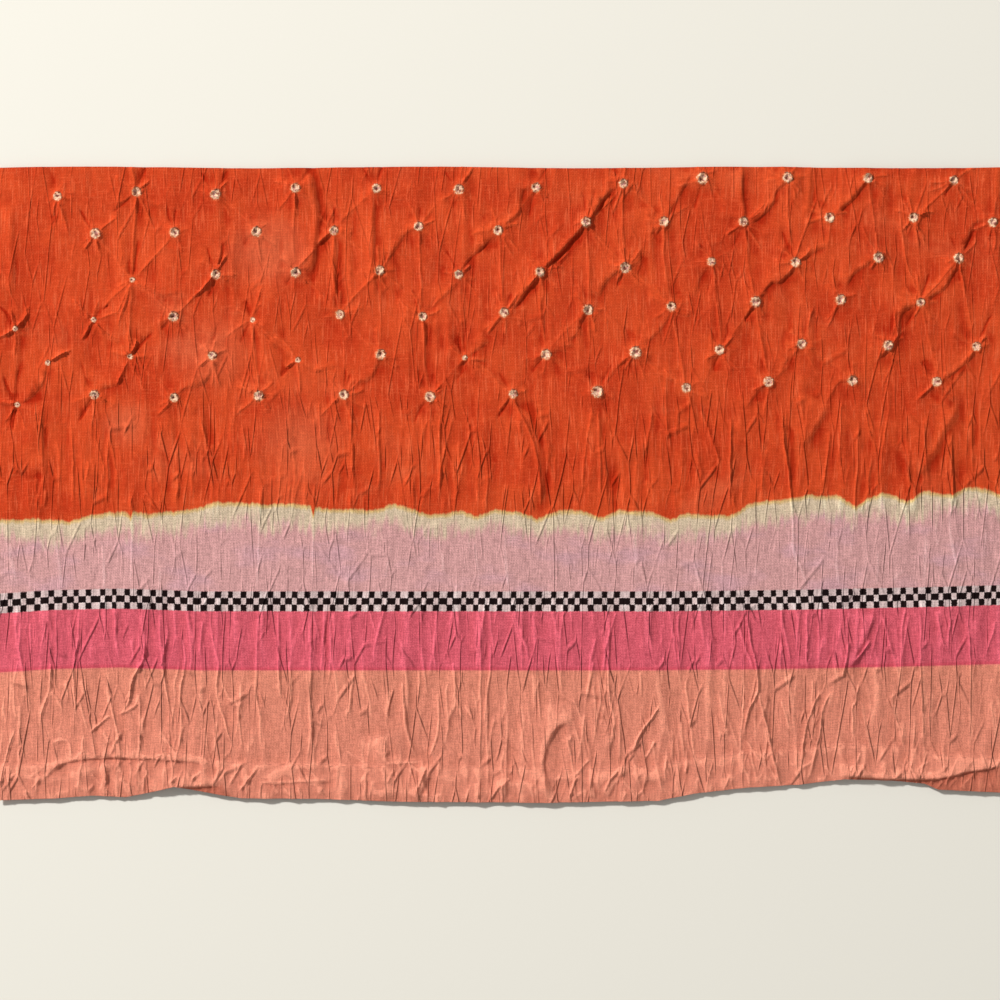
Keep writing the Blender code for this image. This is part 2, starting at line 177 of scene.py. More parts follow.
WAVER = 0.22
WAVER_SPANS = (4.0, 8.0)
FINE_WAVER = 0.13
FINE_WAVER_SPANS = (1.8, 2.2)
WAVER_SEEDS = (3, 4)
PATH_STEPS = 5
CREST_SHIFT = 0.15
BACK_SPREAD = 3.4
FOLD_END = 0.18
BACK_AT_END = 0.4
DOT_LEVEL = 2.0
DOT_MIDDLE = 0.8
DOT_BLEND = 1.1
Fold = namedtuple("Fold", "height back front points")
SLANT_FOLDS = [
    Fold(0.85, 3.6, 0.30, [(30.8, 75.1), (26.3, 72.1), (21.5, 65.4), (15.5, 58.6), (10.0, 52.9),
                           (1.3, 41.6)]),
    Fold(0.52, 2.6, 0.4, [(41.0, 65.6), (37.5, 62.4), (35.0, 58.1), (34.5, 53.6)]),
    Fold(0.44, 2.4, 0.4, [(31.3, 54.1), (28.0, 52.4), (25.0, 48.6), (24.5, 46.1)]),
    Fold(0.44, 2.4, 0.4, [(82.5, 59.9), (78.8, 58.6), (75.0, 56.6), (73.8, 55.4)]),
    Fold(0.67, 2.8, 0.4, [(73.8, 55.4), (70.0, 51.1), (67.5, 50.9), (64.3, 46.9), (60.0, 41.1)]),
    Fold(0.59, 2.6, 0.4, [(91.8, 76.4), (87.5, 71.1), (82.5, 66.6)]),
    Fold(0.52, 2.6, 0.4, [(71.8, 76.6), (68.8, 73.6), (67.5, 69.9), (63.8, 66.6), (60.8, 65.6)]),
    Fold(0.44, 2.4, 0.4, [(94.5, 56.6), (90.0, 54.1), (87.0, 51.1), (86.3, 48.6)]),
    Fold(0.52, 2.6, 0.4, [(114.5, 56.4), (112.0, 51.1), (110.0, 48.6), (105.0, 45.4)]),
    Fold(0.44, 2.4, 0.4, [(123.0, 65.4), (118.8, 65.6), (116.3, 61.1), (115.0, 56.6)]),
    Fold(0.59, 2.6, 0.4, [(105.0, 45.4), (100.0, 43.1), (99.0, 37.4), (96.8, 34.6), (92.5, 29.9)]),
    Fold(0.52, 2.4, 0.4, [(119.0, 34.4), (115.0, 29.9), (109.0, 25.6)]),
    Fold(0.44, 2.4, 0.4, [(-20.3, 64.4), (-23.8, 62.9), (-26.3, 59.1), (-30.0, 53.4)]),
    Fold(0.44, 2.2, 0.4, [(-0.5, 63.4), (-3.8, 59.9), (-6.3, 58.1), (-8.8, 55.6), (-10.3, 52.4)]),
    Fold(0.44, 2.2, 0.4, [(9.0, 74.1), (5.5, 73.6), (4.5, 69.9), (4.0, 67.4), (-0.5, 63.9)]),
    Fold(0.37, 2.2, 0.4, [(-10.5, 51.1), (-14.3, 47.4), (-18.8, 43.1)]),
    Fold(0.44, 2.2, 0.4, [(-2.5, 36.1), (-5.0, 34.9), (-8.8, 31.6), (-11.3, 29.4)]),
    Fold(0.30, 1.6, 0.4, [(-8.8, 31.6), (-3.8, 28.6), (-0.5, 24.9), (2.5, 22.4)]),
    Fold(0.67, 2.8, 0.5, [(-41.5, 63.4), (-45.5, 60.4), (-47.0, 57.4), (-48.0, 52.4)]),
    Fold(0.37, 2.0, 0.4, [(-113.0, 30.4), (-114.5, 24.9), (-118.8, 21.1), (-120.5, 19.9)]),
    Fold(0.37, 2.0, 0.4, [(-92.3, 31.9), (-95.0, 26.1), (-98.8, 24.4), (-101.3, 22.4)]),
    Fold(0.37, 2.0, 0.4, [(-71.8, 32.1), (-73.0, 26.6), (-75.0, 24.9), (-78.8, 24.1), (-81.3, 21.6)]),
    Fold(0.37, 2.0, 0.4, [(-29.8, 32.4), (-32.5, 26.6), (-36.3, 26.1), (-39.0, 22.4)]),
    Fold(0.37, 2.0, 0.4, [(22.0, 43.6), (19.5, 40.6), (18.8, 37.4), (11.5, 32.4)]),
    Fold(0.37, 2.0, 0.4, [(18.8, 34.9), (15.0, 34.4), (11.5, 32.4)]),
    Fold(0.37, 2.0, 0.4, [(88.0, 25.9), (85.0, 26.1), (82.5, 23.1), (78.0, 14.0)]),
    Fold(0.37, 2.0, 0.4, [(67.0, 25.6), (63.8, 23.6), (61.0, 19.0)]),
    Fold(0.44, 2.2, 0.4, [(47.5, 78.6), (45.0, 73.6), (41.3, 66.1)]),
    Fold(0.30, 1.8, 0.4, [(52.8, 55.6), (49.5, 51.5), (48.0, 46.0)]),
    Fold(0.30, 1.8, 0.4, [(42.8, 44.4), (40.5, 40.0), (35.0, 34.0)]),
    Fold(0.30, 1.8, 0.4, [(75.3, 35.1), (71.0, 31.0), (69.0, 27.0)]),
    Fold(0.30, 1.8, 0.4, [(33.8, 32.9), (29.0, 29.5), (26.0, 25.0)]),
]
GROUND_FOLDS = [
    Fold(1.3, 3.3, 1.3, [(-48.8, 79.4), (-46.3, 67.4), (-48.0, 51.0)]),
    Fold(0.8, 2.5, 1.3, [(-122.5, 71.0), (-122.9, 58.0), (-122.5, 46.0)]),
    Fold(0.7, 2.4, 0.8, [(-32.0, 77.0), (-32.3, 60.0), (-31.3, 43.5)]),
    Fold(0.5, 3.0, 0.6, [(-41.0, 63.0), (-41.8, 46.1), (-40.0, 42.4)]),
    Fold(0.7, 2.5, 0.5, [(60.3, 79.4), (60.0, 72.4), (60.8, 65.6)]),
    Fold(0.5, 5.0, 3.3, [(41.3, 13.6), (26.0, 6.5), (11.3, -2.6)]),
    Fold(0.9, 5.0, 1.4, [(113.8, 19.9), (110.0, 13.6), (106.3, 6.1), (103.0, 1.8)]),
    Fold(0.7, 4.2, 1.3, [(81.5, 21.6), (77.5, 13.6), (74.5, 10.2)]),
    Fold(0.7, 3.3, 1.3, [(-115.0, 21.8), (-115.4, 11.0), (-115.0, 1.6)]),
    Fold(0.7, 3.8, 1.3, [(5.0, 20.0), (9.5, 6.1), (10.0, -6.0)]),
    Fold(0.5, 3.0, 1.5, [(36.0, 70.0), (37.0, 63.0), (35.5, 56.0)]),
]
HEM_FOLDS = [
    Fold(0.80, 3.6, 0.30, [(-70.5, -73.4), (-72.5, -70.6), (-76.0, -69.0), (-83.0, -68.4), (-98.0, -68.0),
                           (-107.0, -69.0), (-111.0, -70.6), (-115.8, -75.4)]),
    Fold(0.8, 4.2, 0.4, [(-69.5, -74.9), (-78.5, -75.2), (-88.3, -76.4)]),
    Fold(0.9, 3.2, 0.3, [(127.0, -69.6), (117.5, -71.4), (110.0, -72.9), (100.0, -73.4), (90.0, -72.8),
                          (83.0, -72.4)]),
    Fold(1.0, 3.0, 2.4, [(-30.2, -61.5), (-29.6, -68.0), (-27.6, -79.6)]),
    Fold(0.6, 2.5, 0.8, [(-16.8, -68.5), (-18.5, -73.0), (-21.3, -79.6)]),
    Fold(0.6, 2.5, 0.8, [(31.8, -70.0), (28.5, -74.0), (25.8, -78.5)]),
    Fold(1.0, 3.6, 0.8, [(19.3, -58.9), (15.0, -59.4), (12.0, -63.5), (10.3, -70.1), (12.8, -79.4)]),
    Fold(0.8, 3.3, 1.0, [(93.0, -31.5), (90.0, -38.9), (86.3, -46.5)]),
    Fold(0.7, 1.2, 2.2, [(10.1, -74.8), (2.0, -74.6), (-2.4, -75.8)]),
    Fold(0.7, 1.2, 2.4, [(30.1, -72.0), (25.8, -72.6), (22.6, -75.1)]),
    Fold(0.5, 1.0, 2.4, [(41.0, -71.8), (36.0, -72.0), (31.8, -72.2)]),
    Fold(0.6, 1.0, 1.8, [(-96.0, -69.5), (-100.5, -70.6), (-108.0, -72.6)]),
    Fold(0.5, 1.0, 1.8, [(-50.0, -70.2), (-55.0, -71.5), (-58.5, -73.6)]),
]


def lumps(x, y, span_x, span_y, seed):
    """Smooth seeded noise between -1 and 1, one lump to each span."""
    place_x = (x + CLOTH_WIDTH) / span_x
    place_y = (y + CLOTH_WIDTH) / span_y
    shape = (int(2 * CLOTH_WIDTH / span_x) + 3, int(2 * CLOTH_WIDTH / span_y) + 3)
    lattice = np.random.RandomState(seed).uniform(-1.0, 1.0, shape)
    low_x = place_x.astype(int)
    low_y = place_y.astype(int)
    right = soft_step(place_x - low_x)
    above = soft_step(place_y - low_y)
    lower = lattice[low_x, low_y] * (1 - right) + lattice[low_x + 1, low_y] * right
    higher = lattice[low_x, low_y + 1] * (1 - right) + lattice[low_x + 1, low_y + 1] * right
    return lower * (1 - above) + higher * above


waver_x = cloth_x + WAVER * lumps(cloth_x, cloth_y, *WAVER_SPANS, WAVER_SEEDS[0])
waver_x += FINE_WAVER * lumps(cloth_x, cloth_y, *FINE_WAVER_SPANS, WAVER_SEEDS[0] + 2)
waver_y = cloth_y + WAVER * lumps(cloth_x, cloth_y, *WAVER_SPANS, WAVER_SEEDS[1])


def rounded(points):
    """More points along a path, on a smooth curve through those given."""
    if len(points) == 2:
        return np.array(points)
    known = np.array([points[0], *points, points[-1]])
    share = np.linspace(0.0, 1.0, PATH_STEPS, endpoint=False)[:, None]
    curve = []
    for before, first, second, after in zip(known, known[1:], known[2:], known[3:]):
        bend = 2 * before - 5 * first + 4 * second - after
        twist = 3 * first - before - 3 * second + after
        curve.append(first + 0.5 * share * (second - before + share * (bend + share * twist)))
    return np.concatenate([*curve, known[-1:]])


def from_path(points, reach):
    """The net's window near a path, and in it the distance to its left, and how far along it is."""
    path = rounded(points)
    low_x, low_y = path.min(axis=0) - reach
    high_x, high_y = path.max(axis=0) + reach
    part = window(low_x, high_x, low_y, high_y)
    x = waver_x[part]
    y = waver_y[part]
    least = np.full(x.shape, np.inf)
    side = np.zeros_like(x)
    along = np.zeros_like(x)
    runs = np.diff(path, axis=0)
    lengths = np.hypot(runs[:, 0], runs[:, 1])
    walked = 0.0
    for (start_x, start_y), (run_x, run_y), length in zip(path, runs, lengths):
        share = np.clip(((x - start_x) * run_x + (y - start_y) * run_y) / length ** 2, 0.0, 1.0)
        off_x = x - start_x - share * run_x
        off_y = y - start_y - share * run_y
        distance = np.hypot(off_x, off_y)
        closer = distance < least
        left = np.where(off_y * run_x - off_x * run_y > 0, 1.0, -1.0)
        side[closer] = (left * distance)[closer]
        along[closer] = ((walked + share * length) / lengths.sum())[closer]
        least[closer] = distance[closer]
        walked += length
    return part, side, along


def fold_relief(side, along, fold):
    """Height that one fold gives: a long back, a steep front, fading out at both ends."""
    swell = soft_step(along / FOLD_END) * soft_step((1 - along) / FOLD_END)
    side = side - CREST_SHIFT
    front = np.exp(-(side / fold.front) ** 2)
    back_length = BACK_SPREAD * fold.back * (BACK_AT_END + (1 - BACK_AT_END) * swell)
    back = np.clip(1 + side / back_length, 0.0, 1.0) ** 2
    return fold.height * np.where(side > 0, front, back) * swell


fold_height = np.zeros_like(cloth_x)
for fold in SLANT_FOLDS + GROUND_FOLDS + HEM_FOLDS:
    part, side, along = from_path(fold.points, BACK_SPREAD * fold.back)
    fold_height[part] = np.maximum(fold_height[part], fold_relief(side, along, fold))

# A dot stays on top of the fold that runs through it
for dot in dots:
    reach = DOT_LEVEL * dot.size
    part = window(dot.x - reach, dot.x + reach, dot.y - reach, dot.y + reach)
    radius = np.hypot(cloth_x[part] - dot.x, cloth_y[part] - dot.y) / dot.size
    level = fold_height[part][radius < DOT_MIDDLE].max()
    fold_height[part] = np.maximum(fold_height[part], level * soft_step((DOT_LEVEL - radius) / DOT_BLEND))

# The creases
# Thin cotton that dried in a crumple keeps sharp thin creases, upright in the bands, where two
# often run together in a Y. Each is a narrow ridge with the cloth rising a little towards it.

RIDGE_PART = 1.0
RIDGE_WIDTH = 0.23
TENT_PART = 0.50
TENT_WIDTH = 1.1
CREASE_START = 0.12
CREASE_END = 0.25
Crease = namedtuple("Crease", "height points")
GROUND_CREASES = [
    Crease(0.40, [(30.0, 59.1), (31.3, 54.1)]),
    Crease(0.35, [(78.3, 44.4), (77.0, 41.1), (76.8, 37.4), (77.5, 35.4)]),
    Crease(0.30, [(103.3, 66.6), (106.3, 58.6)]),
    Crease(0.35, [(100.0, 67.4), (101.3, 56.1), (105.0, 46.1)]),
    Crease(0.30, [(90.5, 64.1), (92.0, 61.1), (94.5, 56.6)]),
    Crease(0.45, [(98.5, 43.6), (98.8, 37.4)]),
    Crease(0.30, [(-101.5, 41.1), (-104.5, 35.6)]),
    Crease(0.30, [(-117.5, 44.9), (-121.0, 38.9), (-125.0, 36.6)]),
    Crease(0.30, [(-120.5, 19.9), (-123.8, 14.9)]),
    Crease(0.30, [(-113.0, -1.4), (-113.8, -6.4)]),
    Crease(0.25, [(-118.0, 1.1), (-117.5, -7.6)]),
    Crease(0.35, [(-107.5, 17.4), (-106.5, 8.6), (-106.8, -7.6)]),
    Crease(0.30, [(-97.5, 13.6), (-95.8, 3.6), (-95.8, -2.6)]),
    Crease(0.25, [(-84.5, 16.1), (-84.8, 8.6)]),
    Crease(0.25, [(-86.8, 6.1), (-87.0, -6.4)]),
    Crease(0.40, [(-92.3, -1.4), (-92.0, -8.9), (-92.5, -28.9)]),
    Crease(0.25, [(-80.3, 3.6), (-80.5, -3.9)]),
    Crease(0.25, [(-77.0, 6.1), (-76.8, -3.9)]),
    Crease(0.35, [(-75.0, 17.4), (-73.3, 11.1), (-72.5, 3.6), (-71.3, -3.9)]),
    Crease(0.25, [(-64.3, 14.9), (-63.5, 7.4), (-64.5, 4.9)]),
    Crease(0.50, [(-59.5, -0.1), (-59.8, -6.4), (-60.3, -13.9), (-60.8, -28.9)]),
    Crease(0.25, [(-52.3, -0.1), (-52.8, -6.4)]),
    Crease(0.40, [(-46.0, 1.1), (-46.5, -5.1), (-47.0, -28.9)]),
    Crease(0.25, [(-45.0, 21.1), (-45.0, 9.9)]),
    Crease(0.20, [(-40.5, 3.6), (-40.5, -6.4)]),
    Crease(0.35, [(-37.5, 21.1), (-37.0, 13.6), (-36.3, -3.9)]),
    Crease(0.35, [(-30.0, 19.9), (-30.3, -3.9)]),
    Crease(0.25, [(-17.5, 19.9), (-17.5, 6.1)]),
    Crease(0.40, [(-15.0, 17.4), (-15.0, 3.6), (-15.8, -5.1)]),
    Crease(0.25, [(-7.5, 16.1), (-7.3, 6.1)]),
    Crease(0.30, [(-5.5, 6.1), (-5.5, -5.1)]),
    Crease(0.45, [(5.0, 18.6), (9.5, 6.1), (10.3, -7.6)]),
    Crease(0.35, [(24.3, 18.6), (25.0, 3.6), (25.0, -6.4)]),
    Crease(0.30, [(37.8, 18.6), (37.0, 12.4), (35.5, 6.1)]),
    Crease(0.20, [(36.3, 1.1), (37.5, -3.9)]),
    Crease(0.20, [(32.5, 7.4), (32.5, -2.6)]),
    Crease(0.25, [(44.3, 19.9), (43.8, 11.1)]),
    Crease(0.50, [(50.0, 18.6), (53.0, 11.1), (55.3, 3.6)]),
    Crease(0.50, [(57.5, 17.4), (57.5, -7.6)]),
    Crease(0.20, [(64.3, 21.1), (63.8, 17.4)]),
    Crease(0.60, [(70.0, 21.1), (70.8, 11.1), (71.8, 3.6), (72.5, -2.6), (73.0, -8.9), (73.8, -18.9),
                  (76.5, -26.4)]),
    Crease(0.35, [(82.3, 13.6), (81.3, 3.6), (80.0, -1.4)]),
    Crease(0.35, [(85.3, 21.1), (84.5, 3.6)]),
    Crease(0.30, [(89.3, 16.1), (88.8, -3.9)]),
    Crease(0.40, [(91.0, 18.6), (92.8, 9.9)]),
    Crease(0.35, [(100.8, 16.1), (101.8, 8.6), (102.0, -3.9)]),
    Crease(0.30, [(105.3, 16.1), (106.3, 6.1)]),
    Crease(0.40, [(112.5, 13.6), (113.0, -2.6), (112.3, -11.4), (113.8, -18.9), (115.5, -26.4)]),
    Crease(0.35, [(117.5, 17.4), (118.0, 1.1)]),
    Crease(0.25, [(123.8, 1.1), (125.0, -3.9)]),
]
BAND_CREASES = [
    Crease(0.30, [(-6.5, -13.9), (-4.8, -26.4)]),
    Crease(0.30, [(0.5, -13.9), (2.0, -26.4)]),
    Crease(0.25, [(12.0, -15.1), (12.8, -26.4)]),
    Crease(0.20, [(27.0, -13.9), (27.3, -18.9)]),
    Crease(0.20, [(35.0, -20.1), (36.3, -25.1)]),
    Crease(0.20, [(-28.0, -18.9), (-29.0, -23.9)]),
    Crease(0.25, [(121.3, -11.4), (122.5, -18.9)]),
    Crease(0.40, [(72.5, -13.9), (77.0, -26.4)]),
    Crease(0.30, [(82.0, -21.4), (84.0, -20.1), (85.0, -26.4)]),
    Crease(0.25, [(101.3, -21.4), (96.3, -25.1)]),
    Crease(0.40, [(-105.3, -30.9), (-105.3, -38.9), (-106.3, -43.9), (-106.3, -51.4), (-105.5, -60.1)]),
    Crease(0.40, [(-111.8, -43.9), (-112.5, -51.4), (-114.5, -57.6), (-114.8, -62.6)]),
    Crease(0.30, [(-111.8, -51.4), (-108.8, -56.4)]),
    Crease(0.25, [(-117.5, -33.9), (-117.0, -43.9)]),
    Crease(0.40, [(-85.0, -31.4), (-84.5, -41.4), (-83.5, -48.9), (-82.5, -55.1), (-81.3, -58.9)]),
    Crease(0.55, [(-88.3, -38.9), (-89.0, -43.9), (-91.8, -48.9), (-92.5, -53.9), (-94.5, -57.6)]),
    Crease(0.35, [(-78.5, -30.1), (-77.5, -36.4), (-76.8, -43.9)]),
    Crease(0.40, [(-79.8, -36.4), (-78.5, -43.9), (-79.5, -51.4), (-79.5, -58.9), (-80.0, -67.6)]),
    Crease(0.30, [(-74.3, -33.9), (-75.0, -43.9)]),
    Crease(0.40, [(-72.5, -33.9), (-71.3, -40.1), (-70.0, -45.1), (-70.5, -51.4), (-69.5, -56.4),
                  (-66.5, -67.6)]),
    Crease(0.30, [(-69.5, -48.9), (-67.0, -53.9), (-65.5, -55.1), (-64.3, -67.6)]),
    Crease(0.40, [(-60.5, -31.4), (-60.8, -51.4), (-59.8, -57.6), (-59.5, -67.6)]),
    Crease(0.40, [(-55.5, -31.4), (-54.8, -51.4), (-53.0, -55.1)]),
    Crease(0.35, [(-52.5, -43.9), (-52.0, -51.4), (-53.3, -60.1)]),
    Crease(0.40, [(-47.0, -31.4), (-47.5, -56.4), (-47.0, -62.6), (-48.8, -72.6)]),
    Crease(0.35, [(-42.5, -31.4), (-42.3, -43.9), (-43.0, -51.4)]),
    Crease(0.30, [(-104.3, -48.9), (-103.0, -52.6)]),
    Crease(0.30, [(-104.8, -53.9), (-103.5, -58.9), (-102.5, -61.4)]),
    Crease(0.40, [(-102.5, -62.1), (-98.8, -58.9), (-96.3, -57.6)]),
    Crease(0.40, [(-95.0, -57.6), (-90.8, -55.1), (-90.5, -51.4)]),
    Crease(0.35, [(-97.5, -67.6), (-95.5, -63.9), (-93.8, -61.4)]),
    Crease(0.30, [(-98.8, -61.4), (-97.3, -65.1)]),
    Crease(0.30, [(-106.8, -68.4), (-108.0, -63.9), (-112.5, -65.1)]),
    Crease(0.35, [(-90.0, -51.4), (-89.5, -67.6)]),
    Crease(0.35, [(-85.0, -61.4), (-80.5, -67.6)]),
    Crease(0.45, [(-125.0, -76.4), (-122.5, -65.1), (-120.5, -60.1)]),
    Crease(0.35, [(-36.3, -46.4), (-37.5, -56.4), (-38.5, -58.9)]),
    Crease(0.30, [(-27.5, -51.4), (-28.0, -58.9)]),
    Crease(0.50, [(-24.5, -48.9), (-24.0, -53.9), (-22.5, -63.9), (-20.0, -68.9)]),
    Crease(0.30, [(-20.0, -46.4), (-20.0, -53.9)]),
    Crease(0.35, [(-15.5, -51.4), (-15.5, -61.4), (-18.0, -70.1)]),
    Crease(0.35, [(-12.0, -43.9), (-10.8, -53.9), (-13.0, -58.4)]),
    Crease(0.30, [(-10.5, -53.9), (-9.5, -58.9)]),
    Crease(0.35, [(-5.0, -31.4), (-4.8, -50.0), (-5.0, -68.9)]),
    Crease(0.35, [(-2.5, -38.9), (-2.3, -43.9), (-3.3, -53.9), (-4.3, -61.4)]),
    Crease(0.30, [(-8.8, -55.1), (-6.8, -58.9)]),
    Crease(0.30, [(9.0, -43.9), (10.3, -61.4)]),
    Crease(0.30, [(16.3, -62.6), (18.8, -73.9)]),
    Crease(0.30, [(23.3, -43.9), (21.3, -53.9)]),
    Crease(0.40, [(27.3, -31.4), (27.0, -51.4), (28.3, -58.9), (27.5, -66.4), (26.8, -70.1)]),
    Crease(0.30, [(29.5, -53.9), (30.0, -71.4)]),
    Crease(0.25, [(35.0, -46.4), (35.3, -53.9)]),
    Crease(0.50, [(40.0, -55.1), (37.5, -58.9), (35.0, -62.6), (32.5, -67.6)]),
    Crease(0.35, [(38.8, -63.9), (36.3, -68.9)]),
    Crease(0.35, [(44.5, -31.9), (44.8, -46.4)]),
    Crease(0.40, [(47.5, -48.9), (46.3, -50.1), (48.0, -65.1), (49.3, -72.6)]),
    Crease(0.30, [(45.0, -58.9), (46.0, -68.9)]),
    Crease(0.55, [(61.3, -31.4), (62.5, -38.9), (63.8, -45.1), (64.5, -51.4), (62.0, -56.4), (60.5, -62.6),
                  (60.3, -65.1)]),
    Crease(0.50, [(64.5, -51.4), (66.3, -58.9), (67.5, -65.1), (70.0, -75.1)]),
    Crease(0.35, [(59.3, -33.9), (60.5, -38.9), (64.0, -48.9)]),
    Crease(0.35, [(70.0, -31.4), (72.5, -45.1)]),
    Crease(0.35, [(76.5, -31.4), (76.5, -46.4)]),
    Crease(0.45, [(80.8, -51.4), (78.8, -53.9), (77.0, -58.9), (75.8, -63.9), (75.0, -72.6)]),
    Crease(0.40, [(82.5, -51.4), (80.5, -56.4), (79.5, -63.9), (77.0, -73.9)]),
    Crease(0.55, [(87.0, -38.9), (86.3, -43.9), (85.0, -48.9)]),
    Crease(0.50, [(92.5, -38.9), (90.0, -42.6), (87.5, -44.6)]),
    Crease(0.40, [(95.0, -31.9), (96.3, -36.4), (98.8, -45.1), (99.8, -51.4)]),
    Crease(0.35, [(89.5, -48.9), (89.0, -53.9), (87.8, -56.4), (88.0, -65.1)]),
    Crease(0.35, [(90.0, -53.9), (92.0, -63.9), (93.0, -67.6)]),
    Crease(0.40, [(98.0, -51.4), (98.3, -56.4), (101.3, -67.6)]),
    Crease(0.40, [(104.8, -31.4), (105.5, -68.9)]),
    Crease(0.40, [(108.8, -31.4), (110.5, -38.9), (111.8, -41.4)]),
    Crease(0.35, [(112.8, -32.6), (111.8, -41.4)]),
    Crease(0.35, [(116.0, -31.9), (117.3, -41.4), (117.3, -68.9)]),
    Crease(0.30, [(123.8, -33.9), (122.5, -38.9), (120.8, -43.9)]),
    Crease(0.30, [(122.5, -53.9), (123.3, -63.9)]),
    Crease(0.35, [(61.3, -63.9), (65.8, -70.1)]),
    Crease(0.35, [(70.0, -53.9), (73.0, -62.6)]),
    Crease(0.30, [(53.8, -57.6), (55.0, -63.9)]),
]
HEM_CREASES = [
    Crease(0.30, [(-120.0, -66.4), (-120.3, -75.1)]),
    Crease(0.30, [(-98.3, -70.1), (-98.3, -75.1)]),
    Crease(0.30, [(-100.0, -75.1), (-96.3, -77.6)]),
    Crease(0.30, [(-106.3, -75.1), (-102.5, -76.4)]),
    Crease(0.40, [(-65.0, -76.4), (-62.5, -73.4), (-60.0, -70.1)]),
    Crease(0.30, [(-59.5, -73.9), (-60.0, -78.9)]),
    Crease(0.30, [(-55.0, -73.9), (-52.5, -77.6)]),
    Crease(0.35, [(-60.0, -74.4), (-48.0, -74.2), (-42.5, -74.0), (-41.3, -73.1)]),
    Crease(0.35, [(-28.8, -69.4), (-18.8, -69.4)]),
    Crease(0.40, [(-18.0, -70.1), (-20.0, -75.1), (-21.3, -78.9)]),
    Crease(0.40, [(30.0, -70.9), (27.0, -74.4), (25.8, -77.6)]),
    Crease(0.35, [(30.5, -73.9), (34.0, -78.1)]),
    Crease(0.40, [(0.0, -75.1), (-2.5, -78.9)]),
    Crease(0.40, [(22.5, -72.6), (22.5, -78.9)]),
    Crease(0.40, [(17.5, -77.6), (18.8, -73.9), (20.0, -72.6)]),
    Crease(0.30, [(110.0, -65.1), (110.8, -72.6)]),
    Crease(0.30, [(50.0, -68.9), (53.0, -73.4)]),
    Crease(0.30, [(95.0, -70.1), (97.0, -72.6)]),
]

# The seeded crinkles fill in between the creases above, and short rays leave every dot
CRINKLE_SEED = 41
CRINKLE_COUNT = 430
CRINKLE_LENGTHS = (5.0, 26.0)
CRINKLE_HEIGHTS = (0.10, 0.30)
CRINKLE_LEAN = 0.07
CRINKLE_TOP_Y = 30.0
BRANCH_SHARE = 0.4
BRANCH_LEAN = 0.24
BRANCH_SPREAD = (0.6, 1.3)
BRANCH_RISE = 0.5
BRANCH_HEIGHT = 0.8
CRINKLE_POINTS = 4
CRINKLE_WANDER = 0.028
CRINKLE_CROWDING = 0.85
crinkle_draw = np.random.RandomState(CRINKLE_SEED)


def crinkle(start_x, start_y, length, lean, height):
    """A crinkle that wanders down the cloth from its start."""
    steps = np.linspace(0.0, 1.0, CRINKLE_POINTS)
    wander = np.cumsum(crinkle_draw.normal(0.0, CRINKLE_WANDER, CRINKLE_POINTS)) * length
    places_x = start_x + lean * length * steps + wander
    return Crease(height, list(zip(places_x, start_y - length * steps)))


crinkles = []
for number in range(CRINKLE_COUNT):
    length = crinkle_draw.uniform(*CRINKLE_LENGTHS)
    start_x = crinkle_draw.uniform(-CLOTH_WIDTH / 2, CLOTH_WIDTH / 2)
    drop = crinkle_draw.uniform(0.0, 1.0) ** CRINKLE_CROWDING
    start_y = CRINKLE_TOP_Y - (CRINKLE_TOP_Y + CLOTH_DEPTH / 2) * drop
    height = crinkle_draw.uniform(*CRINKLE_HEIGHTS) * (0.6 + 0.4 * length / CRINKLE_LENGTHS[1])
    main = crinkle(start_x, start_y, length, crinkle_draw.normal(0.0, CRINKLE_LEAN), height)
    crinkles.append(main)
    if crinkle_draw.uniform() < BRANCH_SHARE:
        joint_x, joint_y = main.points[2]
        lean = crinkle_draw.choice((-1, 1)) * BRANCH_LEAN * crinkle_draw.uniform(*BRANCH_SPREAD)
        rise = BRANCH_RISE * length
        branch = [(joint_x + lean * rise, joint_y + rise), (joint_x, joint_y)]
        crinkles.append(Crease(height * BRANCH_HEIGHT, branch))

HEM_CRINKLE_COUNT = 170
HEM_CRINKLE_PLACES = (-78.0, -66.0)
HEM_CRINKLE_TURNS = (-2.6, -0.5)
HEM_CRINKLE_LENGTHS = (2.5, 8.0)
for number in range(HEM_CRINKLE_COUNT):
    start_x = crinkle_draw.uniform(-CLOTH_WIDTH / 2, CLOTH_WIDTH / 2)
    start_y = crinkle_draw.uniform(*HEM_CRINKLE_PLACES)
    angle = crinkle_draw.uniform(*HEM_CRINKLE_TURNS)
    length = crinkle_draw.uniform(*HEM_CRINKLE_LENGTHS)
    end = (start_x + length * math.cos(angle), start_y + length * math.sin(angle))
    crinkles.append(Crease(crinkle_draw.uniform(*CRINKLE_HEIGHTS), [(start_x, start_y), end]))

Ray = namedtuple("Ray", "angle share shortest longest lowest highest")
RAYS = [
    Ray(18, 0.6, 2.0, 5.5, 0.10, 0.35),
    Ray(44, 0.45, 2.5, 7.0, 0.15, 0.42),
    Ray(70, 0.5, 4.0, 9.0, -0.28, -0.08),
    Ray(90, 0.5, 3.0, 7.0, 0.10, 0.30),
    Ray(112, 0.5, 3.0, 8.0, -0.28, -0.08),
    Ray(136, 0.7, 2.5, 6.5, 0.10, 0.38),
    Ray(162, 0.5, 2.0, 5.0, 0.10, 0.30),
    Ray(200, 0.6, 2.0, 6.0, 0.10, 0.35),
    Ray(228, 0.45, 2.5, 7.0, 0.15, 0.42),
    Ray(249, 0.5, 3.0, 8.0, -0.28, -0.08),
    Ray(270, 0.5, 4.0, 9.0, 0.12, 0.34),
    Ray(291, 0.6, 3.0, 8.0, 0.10, 0.32),
    Ray(318, 0.7, 2.5, 7.0, 0.15, 0.42),
    Ray(344, 0.5, 2.0, 5.0, 0.10, 0.30),
]
RAY_JITTER = 13.0
RAY_START = 1.3
RAY_BEND = 0.14
